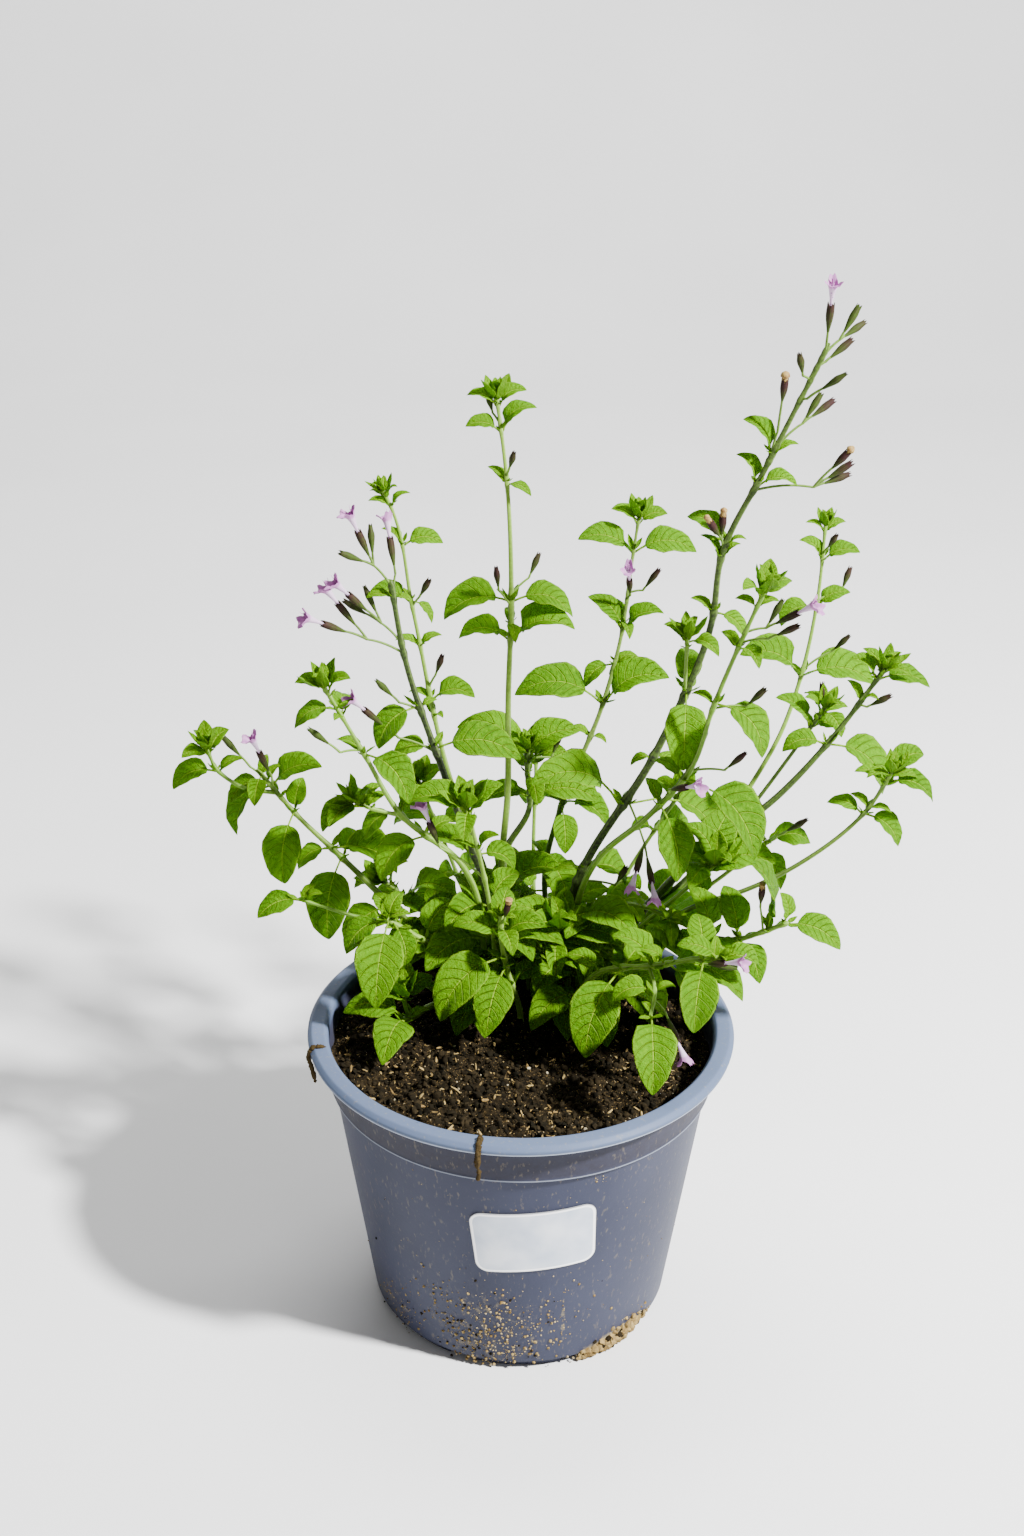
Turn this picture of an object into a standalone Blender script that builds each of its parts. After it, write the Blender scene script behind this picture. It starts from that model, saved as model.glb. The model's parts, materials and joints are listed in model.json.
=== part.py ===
"""Potted calamint: a bushy mint-like herb with lilac flowers, growing in a 17 cm nursery pot.

Metres, +Z up, origin at the middle of the pot's underside. +X is to the viewer's right and
+Y is away from the viewer. Lengths in the tables below are millimetres, angles are degrees.
"""

import math
from collections import namedtuple

import bmesh
import bpy
import numpy as np
from mathutils import Vector
from mathutils.bvhtree import BVHTree

MM = 0.001

# Pot: radii and heights of the turned profile
POT_HEIGHT = 125.0
RIM_RADIUS = 85.0
RIM_INNER_RADIUS = 76.8
RIM_LIP = 3.8
COLLAR_HEIGHT = 103.0
COLLAR_RADIUS = 76.9
WALL_TOP_RADIUS = 75.3
WALL_FOOT_RADIUS = 61.3
WALL_FOOT_HEIGHT = 4.0
WALL = 1.6
POT_SIDES = 32

# Pot: underside with a middle disc, a raised ring with drain holes, and a notched foot ring
DISC_RADIUS = 33.0
FLOOR_RAISE = 3.0
FOOT_OUTER_RADIUS = 58.6
FOOT_INNER_RADIUS = 53.4
DRAIN_COUNT = 8
DRAIN_RADIUS = 4.5
DRAIN_CIRCLE = 44.0
FOOT_GAP_WIDTH = 11.0

# Soil
SOIL_HEIGHT = 113.0
SOIL_DIP = 1.0
SOIL_RELIEF = 1.3
SOIL_RINGS = (16.0, 34.0, 52.0, 66.0)
HOLE_DEPTH = 12.0

# Label on the front of the wall
LABEL_WIDTH = 47.5
LABEL_HEIGHT = 30.5
LABEL_CORNER = 5.0
LABEL_THICK = 0.3
LABEL_MIDDLE_HEIGHT = 71.7
LABEL_ARC_OFFSET = 5.8
LABEL_TILT = 4.0

# Edges turning less than this many degrees are shaded smooth
SMOOTH_BELOW = 35.0

# Clearances: between touching solids, between leaves of different stems, and on one stem
SEAT = 0.3
LEAF_CLEAR = 0.7
OWN_CLEAR = 0.3

# Leaves
LEAF_WIDTH = 0.66
LEAF_THICK = 1.2
LEAF_FOLD = 15.0
LEAF_BOW = 0.19
BLADE_MOST = 29.0
LIGHT_SIDE = (0.30, -0.75, 0.59)
LIGHT_PULL = 0.5
PETIOLE_SHARE = 0.17
PETIOLE_WIDTH = 0.65
PETIOLE_FROM = 11.5
BLADE_STATIONS = ((21.5, (0.1, 0.45, 0.82)), (11.5, (0.24, 0.74)), (0.0, (0.5,)))
TUFT_LEVELS = ((1.0, 25), (0.75, 58))
TUFT_UPRIGHT = 0.5

# Flowers: calyx tube on its stalk, and the two-lipped corolla standing out of it
CALYX_LENGTH = 9.0
CALYX_HALF = 1.15
STALK_HALF = 0.5
FORK_LENGTH = 1.4
DRY_LENGTH = 4.0
CALYX_SHARE = 0.75

# Corolla sections from its root: forward, up, half height, half width, and the tip angle
COROLLA_TUBE = ((3.6, 0.0, 0.7, 0.7, 0), (5.9, 0.0, 1.3, 1.3, 0), (6.5, 0.0, 1.5, 1.5, 0))
UPPER_LIP = ((8.7, 2.2, 0.4, 1.9, 17), (10.7, 3.2, 0.35, 1.0, 29))
LOWER_LIP = ((8.1, -1.6, 0.45, 2.8, -34), (9.5, -4.0, 0.35, 1.9, -52))

# Stems: half width of the square section as a share of the thickness; room for a node's pair
# of rings, half the height of that pair, and the spacing of the plain rings; the bare lengths
# at a stem's foot and tip, and the shortest way from a plain ring to a node
STEM_SQUARE = 0.42
NODE_ROOM = 2.4
NODE_HALF = 0.8
RING_SPACING = 32.0
FOOT_BARE = 14.0
TIP_BARE = 12.0
RING_TO_NODE = 9.0
TIP_MARGIN = 0.8

LEAF_GREEN = (0.20, 0.42, 0.04, 1.0)
LILAC = (0.56, 0.34, 0.69, 1.0)
POT_GREY = (0.21, 0.23, 0.29, 1.0)
SOIL_BROWN = (0.045, 0.028, 0.017, 1.0)
LABEL_WHITE = (0.80, 0.80, 0.78, 1.0)

# A shoot grows from its spot in the soil through the points of its route. A pair is two
# opposite leaves: the share of the stem where it sits, the compass turn of the first leaf
# (0 is +X, 90 is +Y), then reach and rise of each leaf's tip from the stem. A cyme is a
# flower cluster: its share, the step to its fork, and the step from there to each mouth.
Shoot = namedtuple("Shoot", "spot thick route pairs cymes tuft")
Branch = namedtuple("Branch", "parent share thick route pairs cymes tuft")

SHOOTS = {
    "stem_tall_right": Shoot(
        (15, 33), (4.4, 1.8),
        [(22, 30, 170), (52, 24, 233), (70, 19, 288), (72, 17, 314), (85, 13, 347), (104, 9, 393)],
        [(0.25, -152, (12, 3), (20, -12)), (0.36, 200, (39, 16), (44, -26)), (0.44, 190, (9, -3), (9, -6)),
         (0.54, -95, (14, -26), (15, 12)), (0.65, -15, (12, -9), (9, 5)),
         (0.72, 175, (8, 9), (7, 6)), (0.74, 150, (16, 8), (8, 3)),
         (0.82, 165, (8, 11), (14, 4)), (0.86, 175, (11, 13), (8, 6))],
        [(0.23, (15, -3, 0), [(4, -2, 9, "bud")]),
         (0.37, (7, -7, -16), [(-3, -4, -10, "open"), (3, -6, -14, "open")]),
         (0.73, (-1, -2, 5), [(0, -1, 11, "dry"), (-6, -3, 9, "dry")]),
         (0.82, (21, -2, 2), [(12, -3, 15, "dry"), (13, 0, 9, "bud"), (13, 3, 4, "bud")]),
         (0.86, (2, -2, 11), [(1, -4, 21, "dry")]),
         (0.87, (9, 2, 8), [(6, 2, 10, "bud"), (11, 5, 7, "bud")]),
         (0.93, (2, -2, 1), [(12, -5, 10, "bud")]),
         (0.955, (-3, -2, 2), [(-2, -2, 8, "bud")]), (0.97, (3, 1, 2), [(9, 3, 7, "bud")]),
         (0.99, (0, -1, 3), [(0, -3, 14, "open")]),
         (0.99, (6, 2, 6), [(6, 2, 11, "bud"), (9, 5, 5, "bud")])],
        0),
    "stem_tall_centre": Shoot(
        (4, 42), (4.0, 1.5),
        [(-8, 50, 161), (-6, 58, 199), (-6, 66, 237), (-5, 73, 276), (-7, 81, 323), (-11, 85, 355)],
        [(0.22, -13, (25, 14), (16, 8)), (0.63, 175, (21, 0), (26, 6)), (0.655, -80, (11, -4), (9, 4)),
         (0.69, 182, (27, -7), (23, -11)), (0.87, 150, (9, 6), (11, -3)),
         (0.95, 178, (14, 2), (14, 10))],
        [(0.69, (-5, -3, 8), [(-1, -4, 11, "bud")]), (0.70, (7, 3, 6), [(4, 4, 9, "bud")]),
         (0.88, (1, -3, 4), [(2, -4, 8, "bud")]), (0.96, (-3, 2, 4), [(-2, 3, 7, "bud")])],
        13),
    "stem_flowering_left": Shoot(
        (-8, 34), (3.8, 2.2),
        [(-14, 26, 167), (-30, 16, 225), (-44, 8, 278), (-48, 4, 308)],
        [(0.41, -167, (18, 10), (16, -8)), (0.66, 178, (16, -4), (33, -3)), (0.75, 200, (19, -11), (7, 2)),
         (0.97, 175, (10, 0), (7, -2))],
        [(0.66, (-14, -4, 8), [(-12, -6, 14, "open")]),
         (0.75, (-8, -3, 5), [(-8, -5, 11, "bud")]),
         (0.86, (-13, -4, 7), [(-10, -1, 14, "open"), (-15, -8, 9, "open")]),
         (0.88, (-7, -3, 9), [(-14, 7, 6, "bud"), (-11, -6, 13, "open"), (-6, 3, 13, "bud")]),
         (0.99, (-6, -3, 9), [(-5, -2, 13, "open"), (-11, -7, 7, "bud"), (-1, 3, 14, "bud")]),
         (0.99, (1, 3, 6), [(-2, 4, 12, "open")])],
        0),
    "stem_left_light": Shoot(
        (-3, 50), (3.0, 1.3),
        [(-12, 52, 154), (-30, 57, 206), (-44, 63, 276), (-52, 66, 317), (-55, 67, 323)],
        [(0.62, -5, (18, 2), (9, 3)), (0.59, -60, (8, 2), (8, 4)), (0.72, 10, (9, 4), (10, 3)),
         (0.80, 182, (17, 3), (8, -9)), (0.90, 5, (16, 1), (5, 11)), (0.97, 172, (8, 4), (8, 6))],
        [(0.64, (3, -3, 7), [(3, -4, 10, "bud")]), (0.80, (3, -2, 5), [(4, -3, 8, "bud")])],
        9),
    "stem_left_middle": Shoot(
        (-15, 28), (3.8, 1.4),
        [(-24, 19, 185), (-47, 9, 212), (-60, 3, 241), (-73, -3, 270)],
        [(0.57, -150, (20, -14), (12, 4)), (0.66, 185, (13, -11), (12, 8)), (0.82, -35, (21, -14), (12, 4)),
         (0.94, 184, (16, -7), (24, 15)), (0.92, 75, (14, 4), (8, 2)), (0.985, 10, (7, 4), (8, 2))],
        [(0.83, (-8, -2, 0), [(-11, -3, 11, "bud")])],
        13),
    "stem_far_left": Shoot(
        (-22, 36), (4.0, 1.6),
        [(-53, 37, 155), (-74, 37, 179), (-89, 36, 196), (-105, 35, 218)],
        [(0.45, -156, (20, -14), (20, -8)), (0.65, -110, (15, -29), (14, 8)), (0.69, 10, (26, -13), (14, -8)),
         (0.84, -110, (11, -26), (9, 12)), (0.94, -5, (21, 10), (15, -22)),
         (0.96, 200, (16, -5), (8, 5)), (0.98, -100, (11, -8), (8, 6))],
        [(0.96, (0, -2, 6), [(-4, -3, 12, "open")]), (0.97, (-6, 1, 5), [(-10, 0, 13, "bud")])],
        0),
    "stem_left_rosette": Shoot(
        (-10, 22), (2.8, 1.6),
        [(-13, 10, 174), (-17, 3, 200), (-21, -1, 220)],
        [(0.83, -20, (9, 8), (12, 2)), (0.97, 178, (23, 5), (10, 16)), (0.985, -95, (13, -6), (12, 3))],
        [(0.70, (-17, -3, 15), [(-4, 0, 11, "open")])],
        16),
    "stem_centre_back": Shoot(
        (0, 58), (4.8, 2.0),
        [(-7, 70, 164), (3, 68, 186), (2, 69, 203), (2, 70, 213)],
        [(0.81, 180, (19, -2), (29, -1)), (0.90, -70, (12, -9), (14, 2)), (0.95, -172, (30, 13), (24, 8))],
        [(0.97, (10, 2, 0), [(4, 2, 11, "bud")])],
        12),
    "stem_centre_right": Shoot(
        (14, 54), (3.2, 1.3),
        [(10, 64, 161), (16, 71, 184), (33, 83, 226), (40, 90, 252), (45, 100, 288), (47, 103, 302)],
        [(0.41, -80, (10, -17), (14, 4)), (0.42, -12, (19, -9), (12, 2)), (0.56, -20, (7, -2), (10, 2)),
         (0.63, 178, (37, 4), (24, 18)), (0.71, 190, (12, -9), (10, 3)),
         (0.78, 165, (12, 16), (12, 15)), (0.79, -50, (12, -2), (12, 8)), (0.93, 180, (23, 6), (26, 1))],
        [(0.85, (6, -2, 2), [(6, -3, 10, "bud")]), (0.84, (1, -4, 3), [(-1, -6, 9, "open")])],
        13),
    "stem_right_light": Shoot(
        (19, 28), (3.4, 1.6),
        [(31, 21, 188), (48, 13, 209), (64, 5, 235), (70, 0, 261), (83, -8, 304), (85, -9, 310)],
        [(0.55, -60, (14, -26), (10, 8)), (0.62, -25, (30, -26), (12, 6)), (0.78, -20, (19, -18), (9, 3)),
         (0.89, -60, (13, -3), (11, 3)), (0.97, -5, (8, 2), (8, 3))],
        [(0.64, (13, -3, 2), [(7, -4, 9, "bud")]),
         (0.92, (7, -3, 3), [(5, -1, 11, "bud"), (10, -6, 8, "open")]),
         (0.90, (9, -6, 4), [(9, -8, 8, "bud")]), (0.78, (12, -2, 2), [(6, -3, 8, "bud")]),
         (0.58, (-1, -4, 4), [(6, -8, 5, "open")])],
        14),
    "stem_right_tall_light": Shoot(
        (22, 48), (3.2, 1.4),
        [(75, 61, 161), (92, 69, 190), (108, 77, 219), (115, 82, 242), (120, 88, 271), (122, 94, 302)],
        [(0.74, 182, (26, 10), (31, -4)), (0.86, 183, (14, -8), (12, 9)), (0.94, 175, (8, 10), (15, 4))],
        [(0.75, (11, -2, 9), [(6, -3, 8, "bud")]), (0.87, (10, 2, 4), [(3, 2, 9, "bud")]),
         (0.95, (1, -3, 3), [(3, -3, 7, "bud")])],
        10),
    "stem_right_dark": Shoot(
        (27, 38), (4.6, 1.8),
        [(52, 34, 159), (71, 32, 183), (100, 28, 211), (118, 25, 236), (137, 22, 269)],
        [(0.81, 178, (17, -3), (23, -20)), (0.92, 130, (8, 6), (8, 3)), (0.97, -5, (20, -2), (11, 8))],
        [(0.92, (3, -2, 0), [(8, -3, 6, "bud")])],
        12),
    "stem_right_thin": Shoot(
        (23, 43), (2.4, 1.6),
        [(70, 51, 164), (90, 51, 190), (106, 53, 214), (121, 54, 239)],
        [(0.94, 178, (15, 13), (13, 5)), (0.985, -60, (13, -6), (11, 6))],
        [(0.99, (1, 2, 2), [(-1, 2, 9, "bud")])],
        12),
    "stem_far_right": Shoot(
        (31, 29), (2.6, 1.5),
        [(71, 20, 167), (86, 14, 176), (108, 7, 193), (131, 1, 220), (138, -2, 237)],
        [(0.46, -28, (17, -3), (13, 14)), (0.88, 170, (14, 4), (14, -12)), (0.90, -30, (9, 0), (8, 4)),
         (0.97, -5, (18, -7), (12, 4)), (0.985, 30, (16, 6), (11, 2))],
        [],
        11),
    "shoot_right_back": Shoot(
        (30, 34), (2.8, 1.8),
        [(67, 18, 177), (76, 14, 189)],
        [(0.90, -11, (30, 8), (12, 10)), (0.96, 60, (20, 19), (18, 0)), (0.99, 160, (16, 22), (14, 0))],
        [],
        17),
    "shoot_right_low": Shoot(
        (34, 23), (3.0, 1.8),
        [(71, 8, 159), (84, 1, 162), (94, -6, 170), (102, -10, 176)],
        [(0.68, -33, (20, -5), (10, 20)), (0.79, 110, (15, 17), (20, -8)), (0.92, 30, (17, 26), (17, 30)),
         (0.985, -15, (22, -7), (8, 12))],
        [(0.90, (-2, -2, 12), [(0, -2, 11, "dry")])],
        0),
    "shoot_right_middle": Shoot(
        (37, 39), (2.4, 1.6),
        [(86, 32, 178), (94, 30, 187), (101, 29, 193)],
        [(0.91, -50, (15, -11), (16, 6)), (0.96, 20, (20, -3), (19, 11))],
        [(0.99, (3, -2, 3), [(9, -3, 8, "bud")])],
        0),
    "shoot_front_right": Shoot(
        (22, 16), (3.2, 1.8),
        [(32, -2, 149), (52, -14, 159), (68, -22, 167), (76, -25, 169)],
        [(0.60, -129, (23, -29), (14, 6)), (0.73, -11, (36, 4), (17, 12)), (0.78, 178, (12, 4), (16, -12)),
         (0.93, -85, (15, -23), (18, 10)), (0.985, 0, (17, -2), (16, 6))],
        [(0.88, (5, -5, 1), [(7, -4, 3, "open"), (12, -1, -1, "bud")])],
        9),
    "shoot_front_centre": Shoot(
        (0, 16), (3.2, 2.0),
        [(-6, 8, 145), (-8, 5, 161), (-8, 4, 171)],
        [(0.48, -148, (26, -15), (20, 5)), (0.63, -110, (22, -19), (12, 4)), (0.70, -150, (29, -20), (24, -13)),
         (0.84, 172, (19, 6), (18, 7)), (0.90, 110, (14, 26), (14, -4))],
        [(0.95, (1, -2, 4), [(2, -2, 10, "dry")])],
        7),
    "shoot_front_left": Shoot(
        (-19, 22), (3.6, 2.6),
        [(-33, 16, 122), (-47, 3, 122)],
        [(0.98, -105, (29, -2), (12, 10)), (0.96, 178, (25, 8), (9, 5))],
        [],
        0),
    "shoot_left_low": Shoot(
        (-22, 30), (3.0, 2.0),
        [(-34, 20, 145), (-48, 12, 160), (-54, 9, 166)],
        [(0.72, -133, (18, -4), (18, 12)), (0.97, -100, (24, -25), (12, 6)), (0.95, -50, (8, -16), (12, 8)),
         (0.985, 200, (17, -12), (9, 4))],
        [],
        7),
    "shoot_centre_low": Shoot(
        (12, 23), (2.8, 2.0),
        [(13, 18, 148), (15, 16, 159)],
        [(0.68, -31, (24, -6), (20, 22)), (0.79, 190, (13, -16), (20, -8)), (0.86, -90, (14, -8), (16, 10)),
         (0.91, 178, (19, 14), (29, -4))],
        [],
        18),
    "shoot_right_thin": Shoot(
        (24, 30), (2.2, 1.5),
        [(24, 30, 150), (39, 24, 165), (48, 20, 166), (60, 15, 163)],
        [(0.87, 165, (14, 9), (9, -3)), (0.985, 95, (12, 12), (9, -8))],
        [],
        8),
    "shoot_left_inner": Shoot(
        (-16, 44), (2.6, 1.6),
        [(-45, 47, 151), (-57, 48, 161)],
        [(0.97, 170, (15, 12), (10, 2)), (0.85, -30, (24, 9), (16, 3))],
        [],
        16),
    "shoot_back_left": Shoot(
        (-14, 56), (2.6, 1.6),
        [(-28, 74, 151), (-45, 92, 187)],
        [(0.55, 60, (18, -4), (16, 6)), (0.80, 150, (22, -6), (18, 4)), (0.96, 60, (14, 4), (13, 4))],
        [],
        14),
    "shoot_back_centre": Shoot(
        (6, 66), (2.6, 1.6),
        [(5, 90, 153), (6, 104, 195)],
        [(0.50, 20, (20, -4), (20, -2)), (0.78, 100, (22, -10), (12, 6)), (0.96, 10, (14, 3), (14, 4))],
        [],
        13),
    "shoot_back_right": Shoot(
        (24, 60), (2.6, 1.6),
        [(46, 78, 151), (68, 90, 183)],
        [(0.55, 120, (18, -2), (14, 2)), (0.80, 40, (22, -8), (14, 4)), (0.96, 130, (14, 4), (13, 3))],
        [],
        14),
}

BRANCHES = [
    Branch("stem_tall_right", 0.54, (2.0, 1.3), [(61, 18, 271), (61, 17, 283)],
           [(0.90, -10, (13, -3), (8, 6))], [], 12),
    Branch("stem_far_left", 0.95, (2.0, 1.3), [(-110, 31, 212), (-120, 29, 221), (-123, 27, 231)],
           [(0.69, 190, (18, -6), (10, 5))], [], 13),
    Branch("stem_left_middle", 0.66, (1.8, 1.3), [(-57, 7, 215), (-64, 5, 219)],
           [(0.75, 195, (19, -1), (9, 4)), (0.85, 215, (13, -8), (10, 6))], [], 13),
    Branch("shoot_front_right", 0.73, (1.8, 1.3), [(51, -24, 154), (49, -34, 149)],
           [(0.53, 182, (16, -4), (8, 2)), (0.96, -90, (23, -20), (6, 4))],
           [(0.70, (4, -3, -3), [(5, -4, -11, "open")])], 0),
    Branch("shoot_front_left", 0.97, (2.0, 1.5), [(-46, 6, 125), (-47, 7, 132)], [], [], 16),
    Branch("shoot_left_low", 0.98, (1.8, 1.3), [(-67, 14, 164), (-78, 17, 166), (-88, 18, 169)],
           [(0.97, 190, (19, -4), (8, 4)), (0.985, -130, (14, -13), (8, 4))], [], 0),
]


def clear_scene():
    for obj in list(bpy.data.objects):
        bpy.data.objects.remove(obj, do_unlink=True)


def new_collection(name):
    collection = bpy.data.collections.new(name)
    bpy.context.scene.collection.children.link(collection)
    return collection


def material(name, colour, roughness, metallic=0.0):
    found = bpy.data.materials.get(name)
    if found:
        return found
    made = bpy.data.materials.new(name)
    made.use_nodes = True
    shader = made.node_tree.nodes["Principled BSDF"]
    shader.inputs["Base Color"].default_value = colour
    shader.inputs["Roughness"].default_value = roughness
    shader.inputs["Metallic"].default_value = metallic
    made.diffuse_color = colour
    return made


def add_object(name, data, collection, mat=None):
    obj = bpy.data.objects.new(name, data)
    collection.objects.link(obj)
    if mat:
        data.materials.append(mat)
    return obj


def evaluated_mesh(obj):
    """A plain mesh of the object as the viewport shows it, with curve caps welded on."""
    graph = bpy.context.evaluated_depsgraph_get()
    mesh = bpy.data.meshes.new_from_object(obj.evaluated_get(graph))
    bm = bmesh.new()
    bm.from_mesh(mesh)
    bmesh.ops.remove_doubles(bm, verts=bm.verts, dist=1e-7)
    bm.to_mesh(mesh)
    bm.free()
    return mesh


def turned(name, profile, collection, mat, sides=POT_SIDES):
    """A profile of (radius, height) points in mm, turned about Z with a Screw modifier."""
    mesh = bpy.data.meshes.new(name)
    points = [(r * MM, 0.0, z * MM) for r, z in profile]
    mesh.from_pydata(points, [(i, i + 1) for i in range(len(points) - 1)], [])
    obj = add_object(name, mesh, collection, mat)
    screw = obj.modifiers.new("turn", "SCREW")
    screw.axis = "Z"
    screw.steps = sides
    screw.render_steps = sides
    screw.use_merge_vertices = True
    screw.merge_threshold = 0.00002
    screw.use_normal_calculate = False
    return obj


def cut(obj, cutters):
    """Takes every object of a collection out of obj with one Boolean, as a modifier that stays."""
    boolean = obj.modifiers.new("cut", "BOOLEAN")
    boolean.operation = "DIFFERENCE"
    boolean.operand_type = "COLLECTION"
    boolean.collection = cutters
    boolean.solver = "EXACT"


def as_guide(obj, name, collection):
    """Names a cutter and hides it from the render."""
    obj.name = name
    for owner in list(obj.users_collection):
        owner.objects.unlink(obj)
    collection.objects.link(obj)
    obj.display_type = "WIRE"
    obj.hide_render = True


def guide_cylinder(name, radius, depth, place, collection, sides):
    where = [c * MM for c in place]
    bpy.ops.mesh.primitive_cylinder_add(vertices=sides, radius=radius * MM, depth=depth * MM, location=where)
    as_guide(bpy.context.active_object, name, collection)


def guide_box(name, size, place, turn, collection):
    bpy.ops.mesh.primitive_cube_add(size=1.0, location=[c * MM for c in place], rotation=(0, 0, turn))
    bpy.context.active_object.scale = [c * MM for c in size]
    as_guide(bpy.context.active_object, name, collection)


def wall_radius(height):
    """Outer radius of the tapered wall below the collar, at a height in mm."""
    share = (height - WALL_FOOT_HEIGHT) / (COLLAR_HEIGHT - WALL_FOOT_HEIGHT)
    return WALL_FOOT_RADIUS + share * (WALL_TOP_RADIUS - WALL_FOOT_RADIUS)


def floor_outline(lift):
    """The top of the pot's floor, or the soil's underside when lifted clear of it."""
    raised = FLOOR_RAISE + WALL
    return [(0, WALL + lift), (DISC_RADIUS - 0.6 - lift, WALL + lift), (DISC_RADIUS + 2.4 - lift, raised + lift)]


def build_pot(collection, cutters):
    top = POT_HEIGHT
    inside = floor_outline(0.0) + [
        (WALL_FOOT_RADIUS - WALL, FLOOR_RAISE + WALL),
        (WALL_TOP_RADIUS - WALL, COLLAR_HEIGHT),
        (COLLAR_RADIUS - WALL, COLLAR_HEIGHT + 1.8),
    ]
    rim = [
        (RIM_INNER_RADIUS, top - 1.4),
        (RIM_INNER_RADIUS + 1.4, top),
        (RIM_RADIUS - 1.8, top - 0.2),
        (RIM_RADIUS, top - 1.8),
        (RIM_RADIUS - 0.4, top - RIM_LIP),
        (RIM_RADIUS - 1.6, top - RIM_LIP + 0.2),
        (RIM_RADIUS - 2.2, top - 2.2),
        (RIM_INNER_RADIUS + 2.6, top - 2.2),
    ]
    outside = [
        (COLLAR_RADIUS, COLLAR_HEIGHT + 1.4),
        (WALL_TOP_RADIUS, COLLAR_HEIGHT),
        (WALL_FOOT_RADIUS, WALL_FOOT_HEIGHT),
        (FOOT_OUTER_RADIUS, FLOOR_RAISE + 0.4),
        (FOOT_OUTER_RADIUS - 0.2, 0),
        (FOOT_INNER_RADIUS + 0.2, 0),
        (FOOT_INNER_RADIUS, FLOOR_RAISE),
        (DISC_RADIUS + 3.0, FLOOR_RAISE),
        (DISC_RADIUS, 0),
        (0, 0),
    ]
    pot = turned("pot", inside + rim + outside, collection, material("pot plastic", POT_GREY, 0.45))
    for i in range(DRAIN_COUNT):
        angle = math.tau * i / DRAIN_COUNT
        place = (DRAIN_CIRCLE * math.cos(angle), DRAIN_CIRCLE * math.sin(angle), FLOOR_RAISE)
        guide_cylinder(f"drain hole {i + 1}", DRAIN_RADIUS, 8, place, cutters, 8)
        middle = 0.5 * (FOOT_OUTER_RADIUS + FOOT_INNER_RADIUS)
        spoke = angle + math.pi / DRAIN_COUNT
        place = (middle * math.cos(spoke), middle * math.sin(spoke), -0.4)
        guide_box(f"foot gap {i + 1}", (12, FOOT_GAP_WIDTH, 2 * FLOOR_RAISE), place, spoke, cutters)
    cut(pot, cutters)
    return pot


def soil_level(x, y):
    """Height of the potting soil in mm: a shallow dip towards the wall with low lumps on it."""
    lumps = math.sin(0.19 * x + 0.7) * math.cos(0.23 * y - 0.4) + 0.6 * math.sin(0.41 * x - 0.33 * y)
    rim_share = (math.hypot(x, y) / RIM_INNER_RADIUS) ** 2
    calm = min(1.0, math.hypot(x - 4, y - 36) / 34.0)
    return SOIL_HEIGHT - SOIL_DIP * rim_share + SOIL_RELIEF * lumps * calm * 0.6


def build_soil(collection, cutters):
    inner = COLLAR_RADIUS - WALL + 0.6 * (RIM_INNER_RADIUS - COLLAR_RADIUS + WALL)
    rings = [(0, SOIL_HEIGHT)] + [(r, SOIL_HEIGHT) for r in SOIL_RINGS]
    side = [
        (inner - 0.5 - SEAT, SOIL_HEIGHT - SOIL_DIP),
        (COLLAR_RADIUS - WALL - SEAT, COLLAR_HEIGHT + 1.8 + SEAT),
        (WALL_TOP_RADIUS - WALL - SEAT, COLLAR_HEIGHT),
        (WALL_FOOT_RADIUS - WALL - SEAT, FLOOR_RAISE + WALL + SEAT),
    ]
    under = floor_outline(SEAT)[::-1]
    mat = material("potting soil", SOIL_BROWN, 0.95)
    soil = turned("soil", rings + side + under, collection, mat)
    mesh = evaluated_mesh(soil)
    soil.modifiers.clear()
    for vertex in mesh.vertices:
        if vertex.co.z > (SOIL_HEIGHT - SOIL_DIP - 0.01) * MM:
            vertex.co.z = soil_level(vertex.co.x / MM, vertex.co.y / MM) * MM
    mesh.materials.clear()
    mesh.materials.append(mat)
    soil.data = mesh
    for name, shoot in SHOOTS.items():
        half = STEM_SQUARE * shoot.thick[0] + SEAT
        place = (shoot.spot[0], shoot.spot[1], SOIL_HEIGHT + 10 - 0.5 * HOLE_DEPTH)
        guide_box(f"hole of {name}", (2 * half, 2 * half, HOLE_DEPTH + 20), place, 0.0, cutters)
    cut(soil, cutters)
    return soil


def on_wall(across, up, off):
    """A place on the label's plan, turned by its tilt and laid round the wall at a distance off it."""
    tilt = math.radians(LABEL_TILT)
    arc = across * math.cos(tilt) - up * math.sin(tilt) + LABEL_ARC_OFFSET
    height = up * math.cos(tilt) + across * math.sin(tilt) + LABEL_MIDDLE_HEIGHT
    radius = wall_radius(height) + off
    angle = arc / wall_radius(LABEL_MIDDLE_HEIGHT) - 0.5 * math.pi
    return Vector((radius * math.cos(angle), radius * math.sin(angle), height)) * MM


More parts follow.
